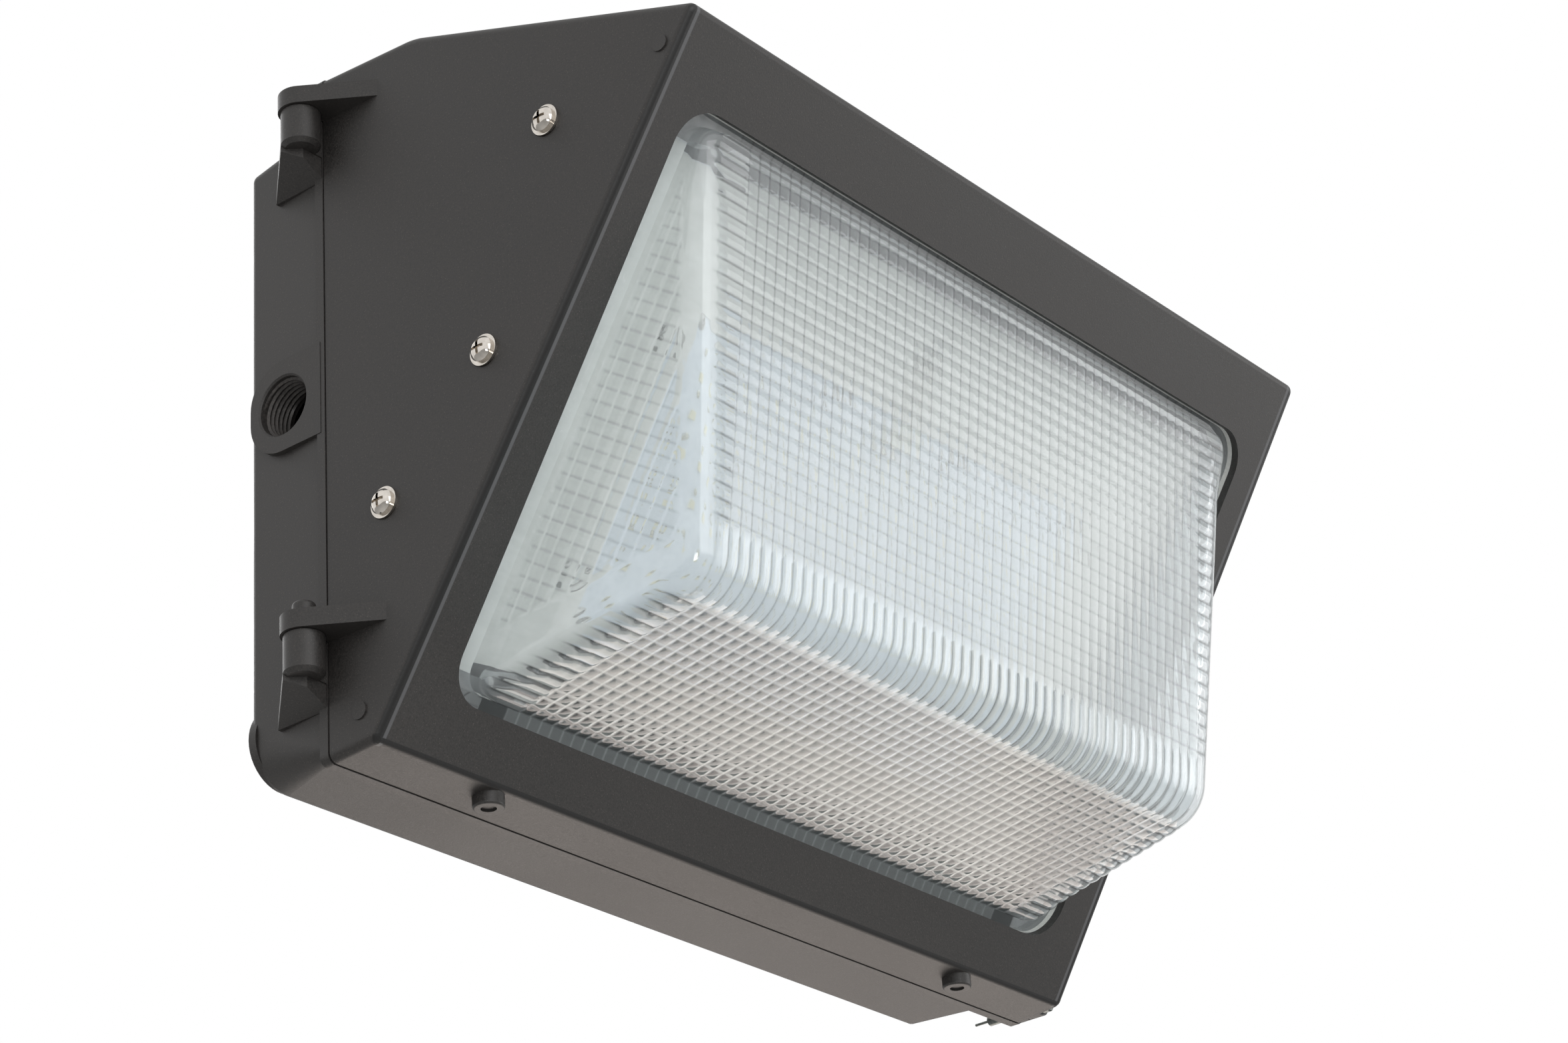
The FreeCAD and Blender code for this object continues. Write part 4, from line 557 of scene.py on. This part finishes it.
reflector_coat = surfaced("reflector_metal", brushed, dark=(226, 224, 217), light=(238, 236, 230),
                          per_metre=(30.0, 900.0, 900.0), rough=(0.38, 0.52), bump_mm=0.008)
dress(reflector_coat, "reflector")


# ======== Glass gasket and lead grommet ========
# Both are moulded from pale silicone. The gasket lies between the front housing's rim and the glass's
# flange. The grommet lines the hole in the tray that the board's leads pass.

pale_silicone = surfaced("pale_silicone", grain, dark=(196, 196, 192), light=(212, 212, 208),
                         per_metre=900.0, rough=(0.5, 0.62), bump_mm=0.02)
dress(pale_silicone, "lead_grommet", "lens_gasket")


# ======== Refractor ========
# Pressed soda-lime glass on a flat flange, held behind the slanted face by clips. Its front pane has columns
# crossed by shallow rows, its bottom pane square beads, its side panes a grid, and its rounded ridge and
# edges plain ribs.

# The dome's form in millimetres: up the slanted face, out of it, and to each side of the middle.
glass_foot, glass_top = 24.5, 216.57
ridge_up, ridge_out = 83.0, 63.3
ridge_radius = 14.0
glass_half, glass_draft = 149.5, 9.8
edge_radius, edge_share = 11.0, 0.7
corner_round = 8.0
glass_wall = 4.0
flange_half, flange_foot, flange_top = 166.0, 14.5, 226.07
flange_front, flange_back = -5.0, -10.0

# The skins' grids. The outer one has per_rib steps across a rib, and skin_share steps for each of the inner.
skin_share = 3
outer_steps, inner_steps = 221, 71
per_rib = 5
inner_half, inner_columns = 118.0, 83


def glass_profile(inset, count):
    """Middle section of the dome, as places up the face and out of it, evenly spaced along its length.
    Each pane is moved in by the inset, the ridge between them is an arc, and the end walls cut them off."""
    foot = np.array([glass_foot, 0.0])
    ridge = np.array([ridge_up, ridge_out])
    top = np.array([glass_top, 0.0])
    rise = (ridge - foot) / np.linalg.norm(ridge - foot)
    fall = (top - ridge) / np.linalg.norm(top - ridge)
    in_rise = np.array([rise[1], -rise[0]])
    in_fall = np.array([fall[1], -fall[0]])
    meet = np.linalg.solve(np.array([in_rise, in_fall]), np.array([in_rise @ foot, in_fall @ top]) + inset)
    low = meet - rise * (meet[0] - glass_foot - inset) / rise[0]
    high = meet + fall * (glass_top - inset - meet[0]) / fall[0]
    radius = ridge_radius - inset
    half = 0.5 * math.acos(rise @ fall)
    run = radius * math.tan(half)
    start, end = meet - rise * run, meet + fall * run
    centre = start + in_rise * radius
    lengths = np.array([np.linalg.norm(start - low), 2 * half * radius, np.linalg.norm(high - end)])
    along = np.linspace(0, lengths.sum(), count + 1)[:, None]
    turned = np.clip((along - lengths[0]) / radius, 0, 2 * half)
    arc = centre - in_rise * radius * np.cos(turned) + rise * radius * np.sin(turned)
    last = end + fall * (along - lengths[0] - lengths[1])
    path = np.where(along < lengths[0], low + rise * along, np.where(along > lengths[:2].sum(), last, arc))
    return along[:, 0], path[:, 0], path[:, 1], lengths


def glass_surface(inset, count, level, interior, rest_count, arc_count, side_count):
    """One skin of the dome and its flange, as a grid of places. Each row is a section across: flange, side
    pane, rounded edge, pane, and the same mirrored. The side pane leans in by the draft, and its height
    follows the profile. A row's half width shrinks near the ends of the dome, so that its corners are round
    in plan. There the rounded edge's radius is a share of the height over the flange."""
    along, up, out, lengths = glass_profile(inset, count)
    up = np.concatenate([[flange_foot, up[0]], up, [up[-1], flange_top]])
    out = np.concatenate([[level, level], out, [level, level]])
    along = np.concatenate([[0.0, 0.0], along, [along[-1], along[-1]]])
    lean = glass_draft / ridge_out
    tilt = math.atan(lean)
    near = np.clip(np.minimum(up - glass_foot - inset, glass_top - inset - up), 0, corner_round)
    half = glass_half - inset - corner_round + np.sqrt(corner_round ** 2 - (corner_round - near) ** 2)
    radius = np.minimum(edge_radius - inset, edge_share * np.clip(out - level, 0, None))
    centre_out = out - radius
    centre_x = half - lean * centre_out - radius / math.cos(tilt)
    side_end = centre_out + radius * math.sin(tilt)
    height = level + (side_end - level)[:, None] * np.linspace(0, 1, side_count)
    side_x = half[:, None] - lean * height
    angle = np.linspace(tilt, 0.5 * np.pi, arc_count + 1)[1:]
    arc_x = centre_x[:, None] + radius[:, None] * np.cos(angle)
    arc_out = centre_out[:, None] + radius[:, None] * np.sin(angle)
    rest = np.linspace(0, 1, rest_count + 2)[1:-1]
    rest_x = centre_x[:, None] + (interior[-1] - centre_x[:, None]) * rest
    flat = np.ones((len(up), 1))
    right = np.concatenate([flange_half * flat, side_x, arc_x, rest_x], 1)
    right_out = np.concatenate([level * flat, height, arc_out, out[:, None] + 0 * rest_x], 1)
    x = np.concatenate([-right, interior * flat, right[:, ::-1]], 1)
    out = np.concatenate([right_out, out[:, None] + 0 * interior, right_out[:, ::-1]], 1)
    place = np.arange(x.shape[1])
    zones = {"along": along[:, None] + 0 * x, "lengths": lengths,
             "place": np.minimum(place, place[::-1]) + 0 * x,
             "side": 1 + side_count, "arc": 1 + side_count + arc_count}
    return x, up[:, None] + 0 * x, out, zones


# The pressed pattern's pitches and depths, in millimetres. The side lines are counted from side_first.
column_pitch, half_columns = 5.17, 25
side_pitch, side_row_pitch, side_first = 5.7, 4.9, 1.7
pattern_half = half_columns * column_pitch
bead_depth, column_depth, row_depth, ridge_depth = 0.36, 0.17, 0.1, 0.4
edge_depth, ridge_edge_depth, side_line_depth, side_row_depth = 0.45, 0.24, 0.3, 0.24

# Where the parts of the pattern start and are full. Lengths are in millimetres: along the profile from each
# end of the dome, from the ridge's arc, from the columns' last line, in from the profile's lines on the side
# panes, and out of the slanted face. On the rounded edge the ribs rise over a share of its turn, and those of
# the bottom pane are ahead by another share.
from_end = 0.0, 3.0
beads_to_ridge = -3.0, 1.0
front_from_ridge = 6.0, 11.0
edge_from_columns = -0.5, 1.0
side_from_foot, side_from_top, side_from_face = (15.5, 17.5), (8.5, 10.5), (-2.5, -0.5)
ribs_on_turn, bottom_ahead = (0.45, 0.85), 0.35

# Painted light and shade in the glass's colour, for the light that the ribs bend and reflect: how light it is
# on a column's line, on a row's line and on the glass between. The first two are added to the third, on which
# 1 is plain glass. Each pane has one set for its middle and one for its edge.
plain_tone = np.array([0.0, 0.0, 1.0])
bottom_painted_light = np.array([(0.4, 0.34, 0.04), (0.0, -0.6, 0.54)])
front_painted_light = np.array([(-0.36, -0.24, 0.68), (0.0, -0.6, 0.68)])
ridge_painted_light = np.array([(-0.5, 0.0, 1.0), (-0.4, 0.0, 1.0)])
side_painted_light = np.array([0.45, -0.26, 0.86])


def lens(length, pitch):
    """Height of a row of round ribs with sharp valleys. It is one less the square of the distance from a
    rib's middle, as a share of half the pitch."""
    return 1.0 - (2.0 * np.mod(length / pitch, 1.0) - 1.0) ** 2


def ease(value, low, high):
    """Smooth step from 0 at low to 1 at high: three times the share's square, less twice its cube."""
    share = np.clip((value - low) / (high - low), 0, 1)
    return share * share * (3 - 2 * share)


def in_from_line(up, out, end):
    """Distance of a side pane's point in from the profile's straight line between one end of the dome and
    the ridge: the line's rise times the way from the end, less its run times the height, over its length."""
    run = abs(ridge_up - end)
    way = (up - end) * math.copysign(1.0, ridge_up - end)
    return (way * ridge_out - out * run) / math.hypot(run, ridge_out)


def pressed_pattern(x, up, out, zones, row_pitch):
    """Height of the pressed pattern over the smooth glass in millimetres, and its marks for the material: how
    many columns and rows have been passed, the share of beads, and the painted light and shade of lines and
    glass. A bead is a column's height times a row's, and the front's lattice is their sum. The shares of
    bottom pane, front pane and ridge add up to 1."""
    along, lengths = zones["along"], zones["lengths"]
    arc_start, arc_end = lengths[0], lengths[0] + lengths[1]
    bottom = 1 - ease(along - arc_start, *beads_to_ridge)
    front = ease(along - arc_end, *front_from_ridge)
    ridge = 1 - bottom - front
    at_edge = ease(np.abs(x) - pattern_half, *edge_from_columns)
    turned = (zones["place"] - zones["side"]) / (zones["arc"] - zones["side"])
    ribbed = ease(turned + bottom_ahead * bottom, *ribs_on_turn)
    columns, rows = lens(x, column_pitch), lens(along, row_pitch)
    pane = (bottom * bead_depth * columns * rows + front * (column_depth * columns + row_depth * rows)
            + ridge * ridge_depth * columns)
    edge = edge_depth * rows * (1 - ridge) + ridge_edge_depth * columns * ridge
    pane = (pane * (1 - at_edge) + edge * at_edge) * ribbed
    inside = (ease(in_from_line(up, out, glass_foot), *side_from_foot)
              * ease(in_from_line(up, out, glass_top), *side_from_top) * ease(out, *side_from_face))
    side = side_line_depth * lens(out - side_first, side_pitch) + side_row_depth * lens(up, side_row_pitch)
    on_side = zones["place"] < zones["side"]
    ends = ease(along, *from_end) * ease(lengths.sum() - along, *from_end)
    height = np.where(on_side, side * inside, pane) * ends
    count = np.stack([np.where(on_side, (out - side_first) / side_pitch, x / column_pitch),
                      np.where(on_side, up / side_row_pitch, along / row_pitch),
                      bottom * (1 - at_edge) * ~on_side], -1)
    bottom, front, ridge, at_edge, ribbed, inside, on_side = (
        share[..., None] for share in (bottom, front, ridge, at_edge, ribbed, inside, on_side))
    middle_painted_light, edge_painted_light = (bottom * bottom_painted_light[part] + front * front_painted_light[part]
                              + ridge * ridge_painted_light[part] for part in (0, 1))
    tone = middle_painted_light * (1 - at_edge) + edge_painted_light * at_edge
    tone = plain_tone + np.where(on_side, (side_painted_light - plain_tone) * inside, (tone - plain_tone) * ribbed)
    return height, count, tone


def raised(points, height):
    """Moves a grid of points out along its own normals. A normal is the cross product of the grid's two
    directions, made one long, and none where they meet in a point."""
    normal = np.cross(np.gradient(points, axis=0), np.gradient(points, axis=1))
    size = np.linalg.norm(normal, axis=-1, keepdims=True)
    no_area = 1e-12
    normal = normal / np.maximum(size, no_area) * (size > no_area)
    outward = np.sign((normal @ out_face).sum())
    return points + outward * normal * height[..., None] * MM


def grid_faces(rows, columns, first=0):
    """Corner numbers of a grid's quads."""
    corner = (np.arange(rows - 1)[:, None] * columns + np.arange(columns - 1)).reshape(-1, 1) + first
    return corner + np.array([[0, 1, columns + 1, columns]])


def grid_ring(rows, columns, first=0):
    """Corner numbers round the edge of a grid, in order, ending where they start."""
    grid = np.arange(rows * columns).reshape(rows, columns) + first
    return np.concatenate([grid[0, :-1], grid[:-1, -1], grid[-1, :0:-1], grid[::-1, 0]])


def shell_between(outer, inner, share):
    """Faces of a closed glass shell: both skins, and a rim that joins each edge of the coarse inner skin
    to as many edges of the outer skin as the share says."""
    size, inner_size = outer.shape[:2], inner.shape[:2]
    first = size[0] * size[1]
    fine = grid_ring(*size)
    coarse = grid_ring(*inner_size, first)
    steps = np.arange(len(coarse) - 1)
    rim = np.concatenate([fine[share * steps[:, None] + np.arange(share + 1)], coarse[steps + 1][:, None],
                          coarse[steps][:, None]], 1)
    return grid_faces(*size).tolist() + grid_faces(*inner_size, first).tolist() + rim.tolist()


interior = np.arange(-half_columns * per_rib, half_columns * per_rib + 1) * column_pitch / per_rib
x, up, out, zones = glass_surface(0.0, outer_steps, flange_front, interior, rest_count=11, arc_count=9,
                                  side_count=43)
row_pitch = zones["lengths"].sum() / outer_steps * per_rib
height, rib_count, painted_rib_light = pressed_pattern(x, up, out, zones, row_pitch)
outer = raised(on_face(x, up, out), height)
interior = np.linspace(-inner_half, inner_half, inner_columns)
inner_x, inner_up, inner_out = glass_surface(glass_wall, inner_steps, flange_back, interior, rest_count=4,
                                             arc_count=4, side_count=13)[:3]
on_rim = np.ones(inner_x.shape, bool)
on_rim[1:-1, 1:-1] = False
inner = on_face(np.where(on_rim, x[::skin_share, ::skin_share], inner_x),
                np.where(on_rim, up[::skin_share, ::skin_share], inner_up), inner_out)
glass_points = np.concatenate([outer.reshape(-1, 3), inner.reshape(-1, 3)])
no_ribs = np.zeros((inner_x.size, 3))
glass_marks = {"rib_count": np.concatenate([rib_count.reshape(-1, 3), no_ribs]),
               "painted_rib_light": np.concatenate([painted_rib_light.reshape(-1, 3), no_ribs + plain_tone])}

# Painted lines of shade and light start at a share of a rib's width from its middle and are full near the
# next rib. Each bead has a painted glint, a bright highlight, at its sides and none at its ends.
column_line_start, row_line_start, line_full = 0.38, 0.34, 0.48
painted_glint_side_start, painted_glint_end_start = 0.3, 0.1
painted_glint_strength = 0.55
seed_depth = 0.02
painted_line_shade = colour(88, 92, 93)
shadow_tint = (0.97, 0.99, 0.985, 1.0)


def marked(tree, mark):
    """The three numbers of a named mark of the mesh, as sockets."""
    held = add(tree, "Attribute", attribute_name=mark).outputs["Vector"]
    return add(tree, "SeparateXYZ", {0: held}).outputs


def line_mask(tree, passed, start):
    """1 on the thin line where one rib meets the next and 0 off it, from how many ribs have been passed: the
    part of the count after its point, less a half, without its sign."""
    part = reckon(tree, "FRACT", passed)
    off = reckon(tree, "ABSOLUTE", reckon(tree, "SUBTRACT", part, 0.5))
    return spread(tree, off, start, line_full)


# The glass's colour carries painted light: darker and lighter lines where the ribs meet, and bright glints on
# the beads, for the light that the ribs bend and reflect.
glass, tree, shader = finish("pressed_glass", IOR=1.52, Transmission_Weight=0.82)
clean = place_effect(tree, grain, dark=(234, 239, 241), light=(246, 251, 253), per_metre=120.0,
                     rough=(0.04, 0.08))
seeds = add(tree, "Bump", {"Height": clean["Height"], "Distance": seed_depth * MM})
columns_passed, rows_passed, bead_share = marked(tree, "rib_count")
column_painted_light, row_painted_light, between_painted_light = marked(tree, "painted_rib_light")
off_end = reckon(tree, "SUBTRACT", 1.0, line_mask(tree, rows_passed, painted_glint_end_start))
painted_glint = reckon(tree, "MULTIPLY", line_mask(tree, columns_passed, painted_glint_side_start), off_end)
painted_glint = reckon(tree, "MULTIPLY", painted_glint, bead_share)
column_line = line_mask(tree, columns_passed, column_line_start)
row_line = line_mask(tree, rows_passed, row_line_start)
shade = reckon(tree, "MULTIPLY_ADD", column_line, column_painted_light, between_painted_light)
shade = reckon(tree, "MULTIPLY_ADD", row_line, row_painted_light, shade)
shade = reckon(tree, "MULTIPLY_ADD", painted_glint, painted_glint_strength, shade)
shade = add(tree, "MixRGB", {"Fac": shade, "Color1": painted_line_shade, "Color2": clean["Color"]}, use_clamp=True)
plug_in(tree, shader, {"Base Color": shade.outputs[0], "Roughness": clean["Roughness"],
                       "Normal": seeds.outputs[0]})
in_shadow = add(tree, "LightPath").outputs["Is Shadow Ray"]
clear = add(tree, "BsdfTransparent", {"Color": shadow_tint})
shown = add(tree, "MixShader", {0: in_shadow, 1: shader.outputs[0], 2: clear.outputs[0]})
tree.links.new(shown.outputs[0], tree.nodes["Material Output"].inputs["Surface"])
refractor = mesh_piece("refractor_glass", glass_points, shell_between(outer, inner, skin_share), glass,
                       "door", sharp_deg=24.0, marks=glass_marks)
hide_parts("refractor")


# ======== Glass clips ========
# Spring steel tabs with rounded corners, blanked and tumbled. Each is screwed to the front housing and
# presses the glass's flange onto its gasket.

clip_steel = surfaced("clip_steel", grain, dark=(136, 136, 134), light=(172, 171, 168), per_metre=1600.0,
                      rough=(0.3, 0.46), bump_mm=0.01, Metallic=1.0)
dress(clip_steel, "lens_clips")


# ======== Side screws and closing screws ========
# Nickel-plated pan-head machine screws with washers hold the tray through the side walls. The closing
# screws are turned stainless steel, so their lines run round the shank.

nickel = surfaced("nickel", grain, dark=(196, 190, 182), light=(222, 216, 208), per_metre=500.0,
                  rough=(0.06, 0.12), bump_mm=0.004, Metallic=1.0)
dress(nickel, "side_screws", "side_washers")
turned_steel = surfaced("turned_steel", brushed, dark=(84, 88, 86), light=(118, 122, 119),
                        per_metre=(300.0, 3500.0, 300.0), rough=(0.26, 0.42), bump_mm=0.01, Metallic=1.0)
dress(turned_steel, "closing_screw_lower", "closing_screw_upper")
